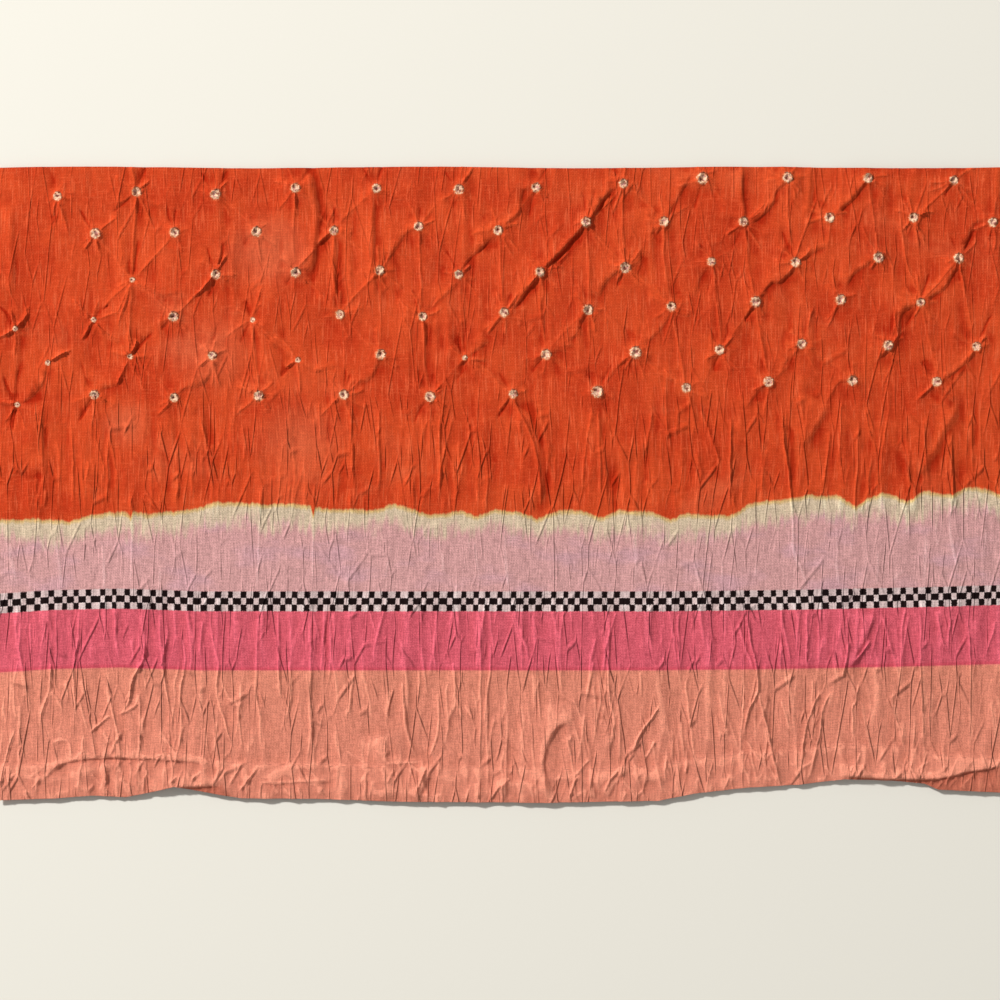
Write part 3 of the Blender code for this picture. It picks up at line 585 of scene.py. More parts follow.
for dot in dots:
    for ray in RAYS:
        tighter = 1.7 - 0.7 * dot.size
        length = crinkle_draw.uniform(ray.shortest, ray.longest) * tighter
        height = crinkle_draw.uniform(ray.lowest, ray.highest) * tighter
        angle = math.radians(ray.angle + crinkle_draw.normal(0.0, RAY_JITTER))
        bend = angle + crinkle_draw.normal(0.0, RAY_BEND)
        if crinkle_draw.uniform() > ray.share:
            continue
        reach_x = math.cos(angle)
        reach_y = math.sin(angle)
        start = (dot.x + RAY_START * dot.size * reach_x, dot.y + RAY_START * dot.size * reach_y)
        middle = (start[0] + length / 2 * reach_x, start[1] + length / 2 * reach_y)
        end = (middle[0] + length / 2 * math.cos(bend), middle[1] + length / 2 * math.sin(bend))
        crinkles.append(Crease(height, [start, middle, end]))

# Long soft creases join a dot to those below it: two rows down, and to both sides one row down
Link = namedtuple("Link", "side depth share lowest highest")
LINKS = [
    Link(0.5, 41.0, 0.55, 0.10, 0.34),
    Link(-10.5, 20.5, 0.25, 0.10, 0.26),
    Link(10.5, 20.5, 0.50, 0.10, 0.30),
]
LINK_MISS = 5.5
LINK_BOW = 0.6
for dot in dots:
    for link in LINKS:
        height = crinkle_draw.uniform(link.lowest, link.highest)
        bow = crinkle_draw.normal(0.0, LINK_BOW)
        if crinkle_draw.uniform() > link.share:
            continue
        wanted_x = dot.x + link.side
        wanted_y = dot.y - link.depth / 2
        near = min(dots, key=lambda other: math.hypot(other.x - wanted_x, other.y - wanted_y))
        if math.hypot(near.x - wanted_x, near.y - wanted_y) < LINK_MISS:
            middle = ((dot.x + near.x) / 2 + bow, (dot.y + near.y) / 2)
            crinkles.append(Crease(height, [(dot.x, dot.y), middle, (near.x, near.y)]))

crease_height = np.zeros_like(cloth_x)
for crease in GROUND_CREASES + BAND_CREASES + HEM_CREASES + crinkles:
    part, side, along = from_path(crease.points, 4 * TENT_WIDTH)
    swell = soft_step(along / CREASE_START) * soft_step((1 - along) / CREASE_END)
    ridge = RIDGE_PART * np.exp(-(side / RIDGE_WIDTH) ** 2)
    tent = TENT_PART * np.exp(-np.abs(side) / TENT_WIDTH)
    crease_height[part] += crease.height * swell * (ridge + tent)

# The undyed strip lies flatter than the bands on both sides of it
FLAT_STRIP = (-27.5, -8.0)
FLAT_SHARE = 0.70
strip_start = soft_step((cloth_y - FLAT_STRIP[0] + 3) / 4)
strip_end = soft_step((FLAT_STRIP[1] + 4 - cloth_y) / 5)
flatter = 1 - FLAT_SHARE * strip_start * strip_end
crease_height *= flatter

# The fold of the hem presses the creases out along its edge
PRESSED_DEPTH = 1.6
PRESSED_SHARE = 0.65
crease_height *= 1 - PRESSED_SHARE * soft_step(1 - above_edge / PRESSED_DEPTH)

# The slack between the folds
# Nothing holds the cloth flat, so it rises and dips a little everywhere: in rumples on the
# dotted ground, in upright ribs on the bands and in small facets where it was crushed.

RUMPLE_HEIGHT = 0.35
RUMPLE_SPAN = 8.5
RIB_HEIGHT = 0.16
RIB_PITCH = 7.0
GROUND_START_Y = 8.0
GROUND_BLEND = 20.0
sway = np.sin(cloth_x / RUMPLE_SPAN + 1.4 * np.sin(cloth_y / 14))
sway = sway * np.sin(cloth_y / 6.7 + 1.1 * np.sin(cloth_x / 19))
rumples = RUMPLE_HEIGHT * (0.5 + 0.5 * sway)
rib_phase = 2 * math.pi * cloth_x / RIB_PITCH
rib_phase = rib_phase + 2.6 * np.sin(cloth_x / 17) + 1.6 * np.sin(cloth_y / 15 + cloth_x / 25)
rib_strength = half_wave(cloth_x / 12 + 2.0 * np.sin(cloth_y / 22))
ribs = RIB_HEIGHT * half_wave(rib_phase) * rib_strength
in_ground = soft_step((cloth_y - GROUND_START_Y) / GROUND_BLEND)
slack_height = rumples * in_ground + ribs * (1 - in_ground)

Facets = namedtuple("Facets", "height span_x span_y seed")
CRUSHED = [
    Facets(0.55, 9.0, 32.0, 14),
    Facets(0.36, 3.6, 18.0, 11),
    Facets(0.13, 1.9, 8.0, 12),
    Facets(0.12, 5.0, 6.0, 13),
]
for facets in CRUSHED:
    lump = lumps(waver_x, waver_y, facets.span_x, facets.span_y, facets.seed)
    slack_height += facets.height * (0.5 + (0.5 - np.abs(lump)) * flatter)

# The turned hem
# The foot of the cloth is folded under once, 9.5 mm deep, and sewn by hand, so the cloth
# there is two layers thick, with a small step down above the line of stitches.

SHEET_LEVEL = 0.35
HEM_DEPTH = 9.5
HEM_LAYER = 0.15
HEM_STEP_WIDTH = 1.8
TURN_RADIUS = 0.16
TURN_STEPS = 5
UNDER_ROWS = 18
HEM_CRUSH = Facets(0.31, 4.2, 3.4, 21)
in_hem = soft_step((HEM_DEPTH - above_edge) / HEM_STEP_WIDTH)
hem_lump = lumps(waver_x, waver_y, HEM_CRUSH.span_x, HEM_CRUSH.span_y, HEM_CRUSH.seed)
hem_height = in_hem * (HEM_LAYER + HEM_CRUSH.height * (1 - np.abs(hem_lump)))
cloth_z = SHEET_LEVEL + hem_height + slack_height + fold_height + crease_height + dot_height

turn_angles = np.linspace(0.0, math.pi, TURN_STEPS + 2)[1:]
turn_x = np.repeat(cloth_x[:, :1], len(turn_angles), axis=1)
turn_y = cloth_y[:, :1] - TURN_RADIUS * np.sin(turn_angles)[None, :]
turn_z = cloth_z[:, :1] - TURN_RADIUS * (1 - np.cos(turn_angles))[None, :]
rows_in_hem = HEM_DEPTH / CLOTH_DEPTH * (rows - 1)
under_rows = np.round(np.linspace(0.0, rows_in_hem, UNDER_ROWS + 1)[1:]).astype(int)
under_x = cloth_x[:, under_rows]
under_y = cloth_y[:, under_rows]
under_z = cloth_z[:, under_rows] - 2 * TURN_RADIUS
net_x = np.concatenate([under_x[:, ::-1], turn_x[:, ::-1], cloth_x], axis=1)
net_y = np.concatenate([under_y[:, ::-1], turn_y[:, ::-1], cloth_y], axis=1)
net_z = np.concatenate([under_z[:, ::-1], turn_z[:, ::-1], cloth_z], axis=1)

# The sheet itself
# The finished surface is one thin sheet. It is modelled on the fine net and then thinned, which
# keeps its triangles where the folds, the creases and the dots are.

SHEET_TRIANGLES = 196000


def net_mesh(name, x, y, z):
    """A mesh of four-sided cells over a net of points, in metres."""
    net_columns, net_rows = x.shape
    points = np.stack([x, y, z], axis=-1).reshape(-1, 3) * MM
    corner = (np.arange(net_columns - 1)[:, None] * net_rows + np.arange(net_rows - 1)[None, :]).ravel()
    cells = np.stack([corner, corner + net_rows, corner + net_rows + 1, corner + 1], axis=-1)
    mesh = bpy.data.meshes.new(name)
    mesh.vertices.add(len(points))
    mesh.vertices.foreach_set("co", points.ravel())
    mesh.loops.add(cells.size)
    mesh.loops.foreach_set("vertex_index", cells.ravel())
    mesh.polygons.add(len(cells))
    mesh.polygons.foreach_set("loop_start", np.arange(0, cells.size, 4))
    mesh.update(calc_edges=True)
    return mesh


def placed(name, data):
    """A new object in the scene, with its mesh, lamp or camera."""
    thing = bpy.data.objects.new(name, data)
    bpy.context.collection.objects.link(thing)
    return thing


sheet = placed("bandhani_cloth", net_mesh("bandhani_cloth", net_x, net_y, net_z))
thin = sheet.modifiers.new("thin", 'DECIMATE')
thin.ratio = SHEET_TRIANGLES / (2 * len(sheet.data.polygons))
thin.use_collapse_triangulate = True
graph = bpy.context.evaluated_depsgraph_get()
thinned = bpy.data.meshes.new_from_object(sheet.evaluated_get(graph))
sheet.modifiers.clear()
sheet.data = thinned
sheet.data.name = "bandhani_cloth"
sheet.data.shade_smooth()


def at_points(grid, x, y):
    """Values of a grid over the cloth's net at any points, between its four nearest."""
    column = np.clip((x / CLOTH_WIDTH + 0.5) * (columns - 1), 0, columns - 1.001)
    foot = along_table(x, HEM_EDGE)
    row = np.clip((y - foot) / (CLOTH_DEPTH / 2 - foot) * (rows - 1), 0, rows - 1.001)
    low_column = column.astype(int)
    low_row = row.astype(int)
    right = column - low_column
    above = row - low_row
    lower = grid[low_column, low_row] * (1 - right) + grid[low_column + 1, low_row] * right
    higher = grid[low_column, low_row + 1] * (1 - right) + grid[low_column + 1, low_row + 1] * right
    return lower * (1 - above) + higher * above


def smoothed(grid, radius, axes=(0, 1)):
    """The same grid with each value averaged over its neighbours."""
    for axis in axes:
        margins = [(radius + 1, radius) if axis == other else (0, 0) for other in (0, 1)]
        total = np.cumsum(np.pad(grid, margins, 'edge'), axis)
        width = 2 * radius + 1
        upper = np.take(total, range(width, total.shape[axis]), axis)
        lower = np.take(total, range(0, total.shape[axis] - width), axis)
        grid = (upper - lower) / width
    return grid


point_count = len(sheet.data.vertices)
points = np.empty(point_count * 3)
sheet.data.vertices.foreach_get("co", points)
points = points.reshape(-1, 3) / MM
point_x = points[:, 0]
point_y = points[:, 1]

# The thinned sheet is shaded with the slopes of the fine net
slope_x = np.gradient(cloth_z, axis=0) / np.gradient(cloth_x, axis=0)
slope_y = np.gradient(cloth_z, axis=1) / np.gradient(cloth_y, axis=1)
own_normals = np.empty(point_count * 3)
sheet.data.vertex_normals.foreach_get("vector", own_normals)
own_normals = own_normals.reshape(-1, 3)
net_normals = np.empty((point_count, 3))
net_normals[:, 0] = -at_points(slope_x, point_x, point_y)
net_normals[:, 1] = -at_points(slope_y, point_x, point_y)
net_normals[:, 2] = 1.0
net_normals /= np.linalg.norm(net_normals, axis=1)[:, None]
on_top = points[:, 2] > at_points(cloth_z, point_x, point_y) - TURN_RADIUS / 2
shading_normals = np.where(on_top[:, None], net_normals, own_normals)
sheet.data.normals_split_custom_set_from_vertices(shading_normals.tolist())

# Where the cloth is dyed and woven
# The colours belong to the threads, so they are placed on the cloth as if it lay flat: a check
# gets narrower where the cloth bunches up, and the edge of the dye wanders as the tying let it.

DYE_EDGE = [
    (-125.0, -8.9), (-116.5, -8.4), (-107.8, -9.1), (-101.0, -7.4), (-93.1, -6.6),
    (-92.4, -8.2), (-91.7, -6.8), (-88.3, -7.4), (-84.8, -6.9), (-76.3, -6.1),
    (-70.5, -4.4), (-62.0, -4.6), (-59.0, -5.1), (-53.3, -4.6), (-47.3, -5.3),
    (-46.7, -7.6), (-46.0, -5.6), (-40.0, -6.1), (-31.0, -6.4), (-27.5, -4.9),
    (-23.5, -5.4), (-18.5, -7.4), (-13.8, -7.4), (-9.8, -6.4), (-6.3, -7.9),
    (-1.3, -6.4), (5.0, -6.9), (9.3, -8.6), (13.8, -6.6), (20.5, -6.4),
    (25.3, -8.4), (29.3, -6.4), (37.8, -6.9), (42.5, -8.9), (45.8, -7.1),
    (57.3, -7.9), (63.0, -4.4), (72.3, -3.6), (77.3, -2.6), (84.8, -2.9),
    (89.0, -5.6), (91.8, -3.4), (96.3, -2.1), (102.0, -4.1), (106.0, -1.4),
    (113.0, -2.4), (117.5, -0.4), (121.5, -1.1), (125.0, -2.6),
]
WEFT_LIFT = [
    (-126.0, -0.6), (-112.5, 0.3), (-95.0, 0.7), (-75.0, 0.0), (40.0, 0.0),
    (75.0, 0.4), (107.5, 1.1), (126.0, 1.6),
]
# The outline of the hem's under layer where it shows below the edge of the top layer; it is given painted
# shade
HEM_LAP = [
    (-91.0, -82.0), (-84.0, -76.6), (-78.5, -75.4), (-69.5, -75.1), (-64.0, -82.0),
    (84.0, -82.0), (88.0, -72.8), (100.0, -73.6), (110.0, -73.1), (117.5, -71.6),
    (127.0, -69.8),
]
BUNCHING = 2.2
BUNCH_ROWS = 9
RIDGE_CELLS = 6
LAP_SOFTNESS = 0.35


def store(name, kind, domain, field, values):
    """Keep values on the sheet's points or corners, for its material to read."""
    attribute = sheet.data.attributes.new(name, kind, domain)
    attribute.data.foreach_set(field, values.ravel())


rise_x = np.sqrt(1 + smoothed(slope_x, BUNCH_ROWS, (1,)) ** 2) - 1
stretch_x = np.cumsum(rise_x, axis=0) * BUNCHING * CLOTH_WIDTH / (columns - 1)
stretch_x = stretch_x - stretch_x[-1:, :] * np.linspace(0.0, 1.0, columns)[:, None]
stretch_x = smoothed(stretch_x, 3 * BUNCH_ROWS, (1,))
laid = np.empty((point_count, 3))
laid[:, 0] = point_x + at_points(stretch_x, point_x, point_y)
laid[:, 1] = point_y - along_table(point_x, WEFT_LIFT)
laid[:, 2] = point_y - along_table(point_x, DYE_EDGE)
store("laid", 'FLOAT_VECTOR', 'POINT', "vector", laid)

# How far each point stands above or below the cloth around it: it sets where the painted crease shade and
# the painted crest highlight go
ridge = at_points(cloth_z - smoothed(smoothed(cloth_z, RIDGE_CELLS), RIDGE_CELLS), point_x, point_y)
store("ridge", 'FLOAT', 'POINT', "value", ridge)

# Mask for the painted shade on the hem's under layer
painted_lap_shade_mask = soft_step((along_table(point_x, HEM_LAP) - point_y) / LAP_SOFTNESS)
store("painted_lap_shade_mask", 'FLOAT', 'POINT', "value", painted_lap_shade_mask)

corner_points = np.empty(len(sheet.data.loops), dtype=int)
sheet.data.loops.foreach_get("vertex_index", corner_points)
corner_xy = points[corner_points, :2].reshape(-1, 3, 2)
face_xy = corner_xy.mean(axis=1)
nearest = np.zeros(len(face_xy), dtype=int)
least = np.full(len(face_xy), np.inf)
for number, dot in enumerate(dots):
    distance = np.hypot(face_xy[:, 0] - dot.x, face_xy[:, 1] - dot.y)
    closer = distance < least
    nearest[closer] = number
    least[closer] = distance[closer]
dot_xy = np.array([(dot.x, dot.y) for dot in dots])
dot_size = np.array([dot.size for dot in dots])
from_dot = np.empty((len(face_xy), 3, 3))
from_dot[:, :, :2] = (corner_xy - dot_xy[nearest][:, None, :]) / dot_size[nearest][:, None, None]
from_dot[:, :, 2] = nearest[:, None]
store("from_dot", 'FLOAT_VECTOR', 'CORNER', "vector", from_dot)

# The dyed and woven cotton
# Hand-loomed cotton with uneven threads. Its orange was dyed on over the tied dots and stops at a
# feathered edge; the pale strip, the checks, the pink band and the salmon band are woven.

cotton = bpy.data.materials.new("dyed_handloom_cotton")
cotton.use_nodes = True
cotton_nodes = cotton.node_tree.nodes
cotton_links = cotton.node_tree.links
cotton_nodes.clear()


def put(socket, value):
    """Give a socket a number or a colour, or link it to another node's output."""
    if isinstance(value, bpy.types.NodeSocket):
        cotton_links.new(value, socket)
    else:
        socket.default_value = value


def work(operation, *values):
    """One step of arithmetic."""
    node = cotton_nodes.new("ShaderNodeMath")
    node.operation = operation
    for socket, value in zip(node.inputs, values):
        put(socket, value)
    return node.outputs[0]


def ramp(value, low, high, start=0.0, end=1.0):
    """Runs softly from start to end while value goes from low to high."""
    node = cotton_nodes.new("ShaderNodeMapRange")
    node.interpolation_type = 'SMOOTHSTEP'
    for socket, given in zip(node.inputs, (value, low, high, start, end)):
        put(socket, given)
    return node.outputs[0]


def blend(share, first, second, kind='MIX'):
    """Mix of two colours."""
    node = cotton_nodes.new("ShaderNodeMix")
    node.data_type = 'RGBA'
    node.blend_type = kind
    put(node.inputs["Factor"], share)
    put(node.inputs[6], first)
    put(node.inputs[7], second)
    return node.outputs[2]


def stretched(vector, size_x, size_y):
    """The place on the cloth, counted in steps of size_x and size_y millimetres."""
    node = cotton_nodes.new("ShaderNodeVectorMath")
    node.operation = 'MULTIPLY'
    put(node.inputs[0], vector)
    node.inputs[1].default_value = (1 / size_x, 1 / size_y, 0.0)
    return node.outputs[0]


def noise(vector, detail=2.0, roughness=0.5, distortion=0.0):
    """Even noise round 0.5, one lump to each step of its vector."""
    node = cotton_nodes.new("ShaderNodeTexNoise")
    put(node.inputs["Vector"], vector)
    node.inputs["Scale"].default_value = 1.0
    node.inputs["Detail"].default_value = detail
    node.inputs["Roughness"].default_value = roughness
    node.inputs["Distortion"].default_value = distortion
    return node.outputs[0]


def swing(value, amount):
    """Even noise as a swing to both sides of 0, amount from end to end."""
    return work('MULTIPLY', work('SUBTRACT', value, 0.5), amount)


def stored(name):
    """A value that the mesh carries at its points."""
    node = cotton_nodes.new("ShaderNodeAttribute")
    node.attribute_name = name
    return node


def parts_of(vector):
    """The three numbers of a vector."""
    node = cotton_nodes.new("ShaderNodeSeparateXYZ")
    put(node.inputs[0], vector)
    return node.outputs


def colour(red, green, blue):
    """A colour as a socket takes it."""
    return (red, green, blue, 1.0)


place = stored("laid").outputs["Vector"]
place_across, place_up, above_dye = parts_of(place)
dot_vector = stored("from_dot").outputs["Vector"]
on_ridge = stored("ridge").outputs["Fac"]

# Threads: uneven streaks both ways, and the over and under of the weave
THREAD_PITCH = 0.72
warp_streaks = noise(stretched(place, 0.27, 1.9), detail=2.0, roughness=0.6)
weft_streaks = noise(stretched(place, 1.9, 0.29), detail=2.0, roughness=0.6)
turn_per_mm = 2 * math.pi / THREAD_PITCH
thread_sway = work('MULTIPLY', noise(stretched(place, 6.0, 6.0)), 3.0)
warp_wave = work('SINE', work('MULTIPLY_ADD', place_across, turn_per_mm, thread_sway))
weft_wave = work('SINE', work('MULTIPLY_ADD', place_up, turn_per_mm, thread_sway))
weave = work('MULTIPLY', warp_wave, weft_wave)
warp_over = ramp(weave, -0.5, 0.5)
streaks = work('MULTIPLY_ADD', warp_over, work('SUBTRACT', warp_streaks, weft_streaks), weft_streaks)
warp_slubs = ramp(noise(stretched(place, 0.34, 7.0), detail=1.0), 0.56, 0.66)
weft_slubs = ramp(noise(stretched(place, 7.0, 0.34), detail=1.0), 0.60, 0.70, 0.0, 0.55)
slubs = work('MAXIMUM', warp_slubs, weft_slubs)
warp_gaps = ramp(noise(stretched(place, 0.31, 5.0), detail=1.0), 0.34, 0.44, 1.0, 0.0)

# The orange ground, with its blotches and its washed-out patches
ORANGE_DEEP = colour(0.47, 0.039, 0.010)
ORANGE_FULL = colour(0.55, 0.060, 0.015)
ORANGE_PALE = colour(0.61, 0.105, 0.038)
WASHED = colour(0.60, 0.125, 0.052)
Patch = namedtuple("Patch", "x y reach")
WASHED_PATCHES = [
    Patch(-93.0, 13.5, 7.0),
    Patch(-72.0, 33.0, 13.0),
    Patch(-51.0, 10.0, 15.0),
    Patch(-58.0, 58.0, 12.0),
]
blotch = noise(stretched(place, 22.0, 17.0), detail=4.0, roughness=0.55)
orange = blend(ramp(blotch, 0.35, 0.62), ORANGE_DEEP, ORANGE_FULL)
wash = noise(stretched(place, 34.0, 26.0), detail=5.0, roughness=0.65, distortion=0.6)
orange = blend(ramp(wash, 0.54, 0.78, 0.0, 0.8), orange, ORANGE_PALE)
orange = blend(ramp(streaks, 0.52, 0.70, 0.0, 0.4), orange, ORANGE_PALE)
orange = blend(work('MULTIPLY', slubs, 0.50), orange, ORANGE_PALE)
for patch in WASHED_PATCHES:
    from_patch = cotton_nodes.new("ShaderNodeVectorMath")
    from_patch.operation = 'DISTANCE'
    put(from_patch.inputs[0], stretched(place, patch.reach, patch.reach))
    from_patch.inputs[1].default_value = (patch.x / patch.reach, patch.y / patch.reach, 0.0)
    worn_here = work('ADD', from_patch.outputs["Value"], swing(wash, 2.2))
    orange = blend(ramp(worn_here, 0.1, 1.1, 0.55, 0.0), orange, WASHED)

# The undyed strip below it: cream next to the dye, pale pink lower down
YELLOW = colour(0.56, 0.36, 0.120)
CREAM = colour(0.56, 0.435, 0.300)
PALE_PINK = colour(0.545, 0.282, 0.268)
PALE_LILAC = colour(0.50, 0.275, 0.300)
feather = noise(stretched(place, 1.0, 7.0), detail=2.0, roughness=0.5)
lobes = noise(stretched(place, 5.0, 5.0), detail=2.0)
patches = noise(stretched(place, 12.0, 8.0), detail=3.0)
ragged = work('ADD', above_dye, work('ADD', swing(feather, 1.3), swing(lobes, 1.3)))
cream_end = work('ADD', ragged, work('ADD', swing(patches, 8.0), swing(feather, 7.5)))
tint = noise(stretched(place, 15.0, 7.0), detail=3.0)
pale_pink = blend(ramp(tint, 0.48, 0.70, 0.0, 0.7), PALE_PINK, PALE_LILAC)
pale = blend(ramp(cream_end, -7.2, -2.2), pale_pink, CREAM)
pale = blend(ramp(ragged, -1.5, -0.4, 0.0, 0.85), pale, YELLOW)
cloth_colour = blend(ramp(ragged, -0.55, 0.3), pale, orange)

# The woven checks: three rows, black and undyed by turns, the middle row a half step along
BORDER_TOP = -26.75
CHECK_ROW = 1.65
CHECK_PITCH = 3.23
CHECK_START = 0.30
OUTER_CHECK = 1.45
MIDDLE_CHECK = 2.1
CHECK_BLACK = colour(0.010, 0.005, 0.005)
CHECK_WHITE = colour(0.55, 0.410, 0.390)
thread_edge = swing(noise(stretched(place, 0.4, 0.4)), 0.6)
bunching = swing(noise(stretched(place, 7.0, 60.0)), 2.2)
row_place = work('DIVIDE', work('SUBTRACT', BORDER_TOP, work('ADD', place_up, thread_edge)), CHECK_ROW)
check_place = work('ADD', place_across, work('ADD', thread_edge, bunching))
check_place = work('MULTIPLY_ADD', check_place, 1 / CHECK_PITCH, CHECK_START)
in_middle = work('MULTIPLY', work('GREATER_THAN', row_place, 1.0), work('LESS_THAN', row_place, 2.0))
check_place = work('MULTIPLY_ADD', in_middle, 0.5, check_place)
from_check = work('ABSOLUTE', work('SUBTRACT', work('FRACT', check_place), 0.5))
outer_half = OUTER_CHECK / 2 / CHECK_PITCH
middle_half = MIDDLE_CHECK / 2 / CHECK_PITCH
half_check = work('MULTIPLY_ADD', in_middle, middle_half - outer_half, outer_half)
black_here = ramp(work('SUBTRACT', from_check, half_check), -0.03, 0.03, 1.0, 0.0)
check_colour = blend(black_here, CHECK_WHITE, CHECK_BLACK)
in_checks = work('MULTIPLY', ramp(row_place, -0.06, 0.06), ramp(row_place, 2.94, 3.06, 1.0, 0.0))

# The hot pink band and the salmon band
PINK_TOP = BORDER_TOP - 3 * CHECK_ROW
PINK_FOOT = -46.5
PINK_FOOT_LINE = colour(0.52, 0.050, 0.075)
HOT_PINK = colour(0.61, 0.106, 0.138)
HOT_PINK_DEEP = colour(0.53, 0.080, 0.108)
SALMON = colour(0.65, 0.224, 0.147)
SALMON_DEEP = colour(0.57, 0.184, 0.119)
HEM_SALMON = colour(0.63, 0.212, 0.138)
pink = blend(ramp(streaks, 0.40, 0.62), HOT_PINK_DEEP, HOT_PINK)
salmon = blend(ramp(streaks, 0.36, 0.60), SALMON_DEEP, SALMON)
salmon = blend(ramp(place_up, -70.0, -66.0, 0.55, 0.0), salmon, HEM_SALMON)
cloth_colour = blend(ramp(place_up, PINK_TOP - 0.1, PINK_TOP + 0.1, 1.0, 0.0), cloth_colour, pink)
foot_start = ramp(place_up, PINK_FOOT - 0.1, PINK_FOOT + 0.2)
foot_end = ramp(place_up, PINK_FOOT + 0.4, PINK_FOOT + 1.2, 1.0, 0.0)
pink_foot = work('MULTIPLY', foot_start, foot_end)
cloth_colour = blend(work('MULTIPLY', pink_foot, 0.55), cloth_colour, PINK_FOOT_LINE)
cloth_colour = blend(ramp(place_up, PINK_FOOT - 0.25, PINK_FOOT + 0.25, 1.0, 0.0), cloth_colour, salmon)
cloth_colour = blend(in_checks, cloth_colour, check_colour)

# The dots: the bound tip took no dye, so it is cream with a feathered orange rim
DOT_CREAM = colour(0.82, 0.54, 0.35)
DOT_ORANGE = colour(0.60, 0.20, 0.07)
DOT_MAUVE = colour(0.44, 0.18, 0.17)
DOT_TIP_AND_SHADOW = colour(0.17, 0.035, 0.018)
DOT_RIM = colour(0.66, 0.19, 0.07)
dot_noise = noise(stretched(place, 0.45, 0.45), detail=2.0)
dot_flecks = noise(stretched(place, 0.8, 0.8), detail=3.0, roughness=0.7)
dot_radius = cotton_nodes.new("ShaderNodeVectorMath")
dot_radius.operation = 'LENGTH'
put(dot_radius.inputs[0], stretched(dot_vector, 1.0, 1.0))
radius_now = work('ADD', dot_radius.outputs["Value"], swing(dot_noise, 1.1))
dot_stain = blend(ramp(radius_now, 0.65, 0.95), DOT_MAUVE, DOT_ORANGE)
dot_pale = blend(ramp(dot_flecks, 0.46, 0.56, 0.0, 0.85), DOT_CREAM, dot_stain)
cloth_colour = blend(ramp(radius_now, 1.2, 1.7, 0.45, 0.0), cloth_colour, DOT_RIM)
cloth_colour = blend(ramp(radius_now, 1.02, 1.34, 1.0, 0.0), cloth_colour, dot_pale)
dot_across, dot_up, dot_number = parts_of(dot_vector)
tip_across = work('MULTIPLY_ADD', work('SINE', work('MULTIPLY', dot_number, 2.4)), 0.55, dot_across)
tip_up = work('MULTIPLY_ADD', work('SINE', work('MULTIPLY', dot_number, 1.7)), 0.45, dot_up)
tip_radius = work('SQRT', work('MULTIPLY_ADD', tip_across, tip_across, work('MULTIPLY', tip_up, tip_up)))
from_tip = work('ADD', tip_radius, swing(dot_noise, 1.3))
cloth_colour = blend(ramp(from_tip, 0.20, 0.58, 0.9, 0.0), cloth_colour, DOT_TIP_AND_SHADOW)
# Painted shadow: a dark crescent on the upper right side of each dot's rim, in the same dark colour as the
# tip
dot_shadow_side = work('MULTIPLY_ADD', dot_up, 0.6, work('MULTIPLY_ADD', dot_across, 0.6, swing(dot_flecks, 2.0)))
painted_dot_shadow = work('MULTIPLY', ramp(radius_now, 0.95, 1.15), ramp(radius_now, 1.25, 1.50, 1.0, 0.0))
painted_dot_shadow = work('MULTIPLY', painted_dot_shadow, ramp(dot_shadow_side, 0.1, 0.5, 0.0, 0.9))
cloth_colour = blend(painted_dot_shadow, cloth_colour, DOT_TIP_AND_SHADOW)

# Painted shade in the creases and at the foot of each fold, where its shadow falls, a painted highlight
# along the crests, and painted shade on the hem's under layer where it shows below the top layer
PAINTED_CREASE_SHADE = colour(0.66, 0.22, 0.12)
PAINTED_BAND_CREASE_SHADE = colour(0.90, 0.85, 0.83)
PAINTED_CREST_HIGHLIGHT = colour(1.25, 1.35, 1.35)
PAINTED_LAP_SHADE = colour(0.78, 0.66, 0.62)
thread_light = ramp(streaks, 0.32, 0.68, 0.66, 1.30)
even_ground = ramp(above_dye, -0.6, 0.4, 0.78, 0.40)
even_bands = ramp(place_up, PINK_TOP - 0.1, PINK_TOP + 0.1, 0.55, 1.0)
even_bands = work('MULTIPLY', even_ground, even_bands)
slub_light = work('SUBTRACT', work('MULTIPLY', slubs, 0.22), work('MULTIPLY', warp_gaps, 0.20))
thread_light = work('ADD', thread_light, slub_light)
thread_shade = work('MULTIPLY_ADD', work('SUBTRACT', thread_light, 1.0), even_bands, 1.0)
shade = cotton_nodes.new("ShaderNodeCombineColor")
for socket in shade.inputs:
    put(socket, thread_shade)
# Painted shade: creases and the foot of each fold's step are darkened where shade falls, less so near the
# dots
painted_shade_colour = blend(ramp(above_dye, -0.5, 0.3), PAINTED_BAND_CREASE_SHADE, PAINTED_CREASE_SHADE)
painted_shade_share = work('MULTIPLY', ramp(on_ridge, -0.22, -0.02, 0.75, 0.0), ramp(radius_now, 1.5, 5.0, 0.25, 1.0))
cloth_colour = blend(painted_shade_share, cloth_colour, painted_shade_colour, 'MULTIPLY')
# Painted highlight: the crests of the ridges are made lighter, more in the bands than in the dotted ground
painted_highlight_share = work('MULTIPLY', ramp(on_ridge, 0.03, 0.11), ramp(radius_now, 1.5, 2.6))
painted_highlight_share = work('MULTIPLY', painted_highlight_share, ramp(above_dye, -0.5, 0.3, 0.85, 0.40))
cloth_colour = blend(painted_highlight_share, cloth_colour, PAINTED_CREST_HIGHLIGHT, 'MULTIPLY')
# Painted shade on the hem's under layer where it shows below the top layer's edge
cloth_colour = blend(stored("painted_lap_shade_mask").outputs["Fac"], cloth_colour, PAINTED_LAP_SHADE, 'MULTIPLY')
cloth_colour = blend(1.0, cloth_colour, shade.outputs[0], 'MULTIPLY')

# The surface: matt cotton, its weave and slubs raised a little
WEAVE_HEIGHT = 0.020
STREAK_HEIGHT = 0.13
CRUMPLE_HEIGHT = 0.10
FACET_HEIGHT = 0.42
PINCH_HEIGHT = 0.38
WIDE_PINCH_HEIGHT = 0.38
COTTON_ROUGHNESS = 0.9
COTTON_SHINE = 0.03


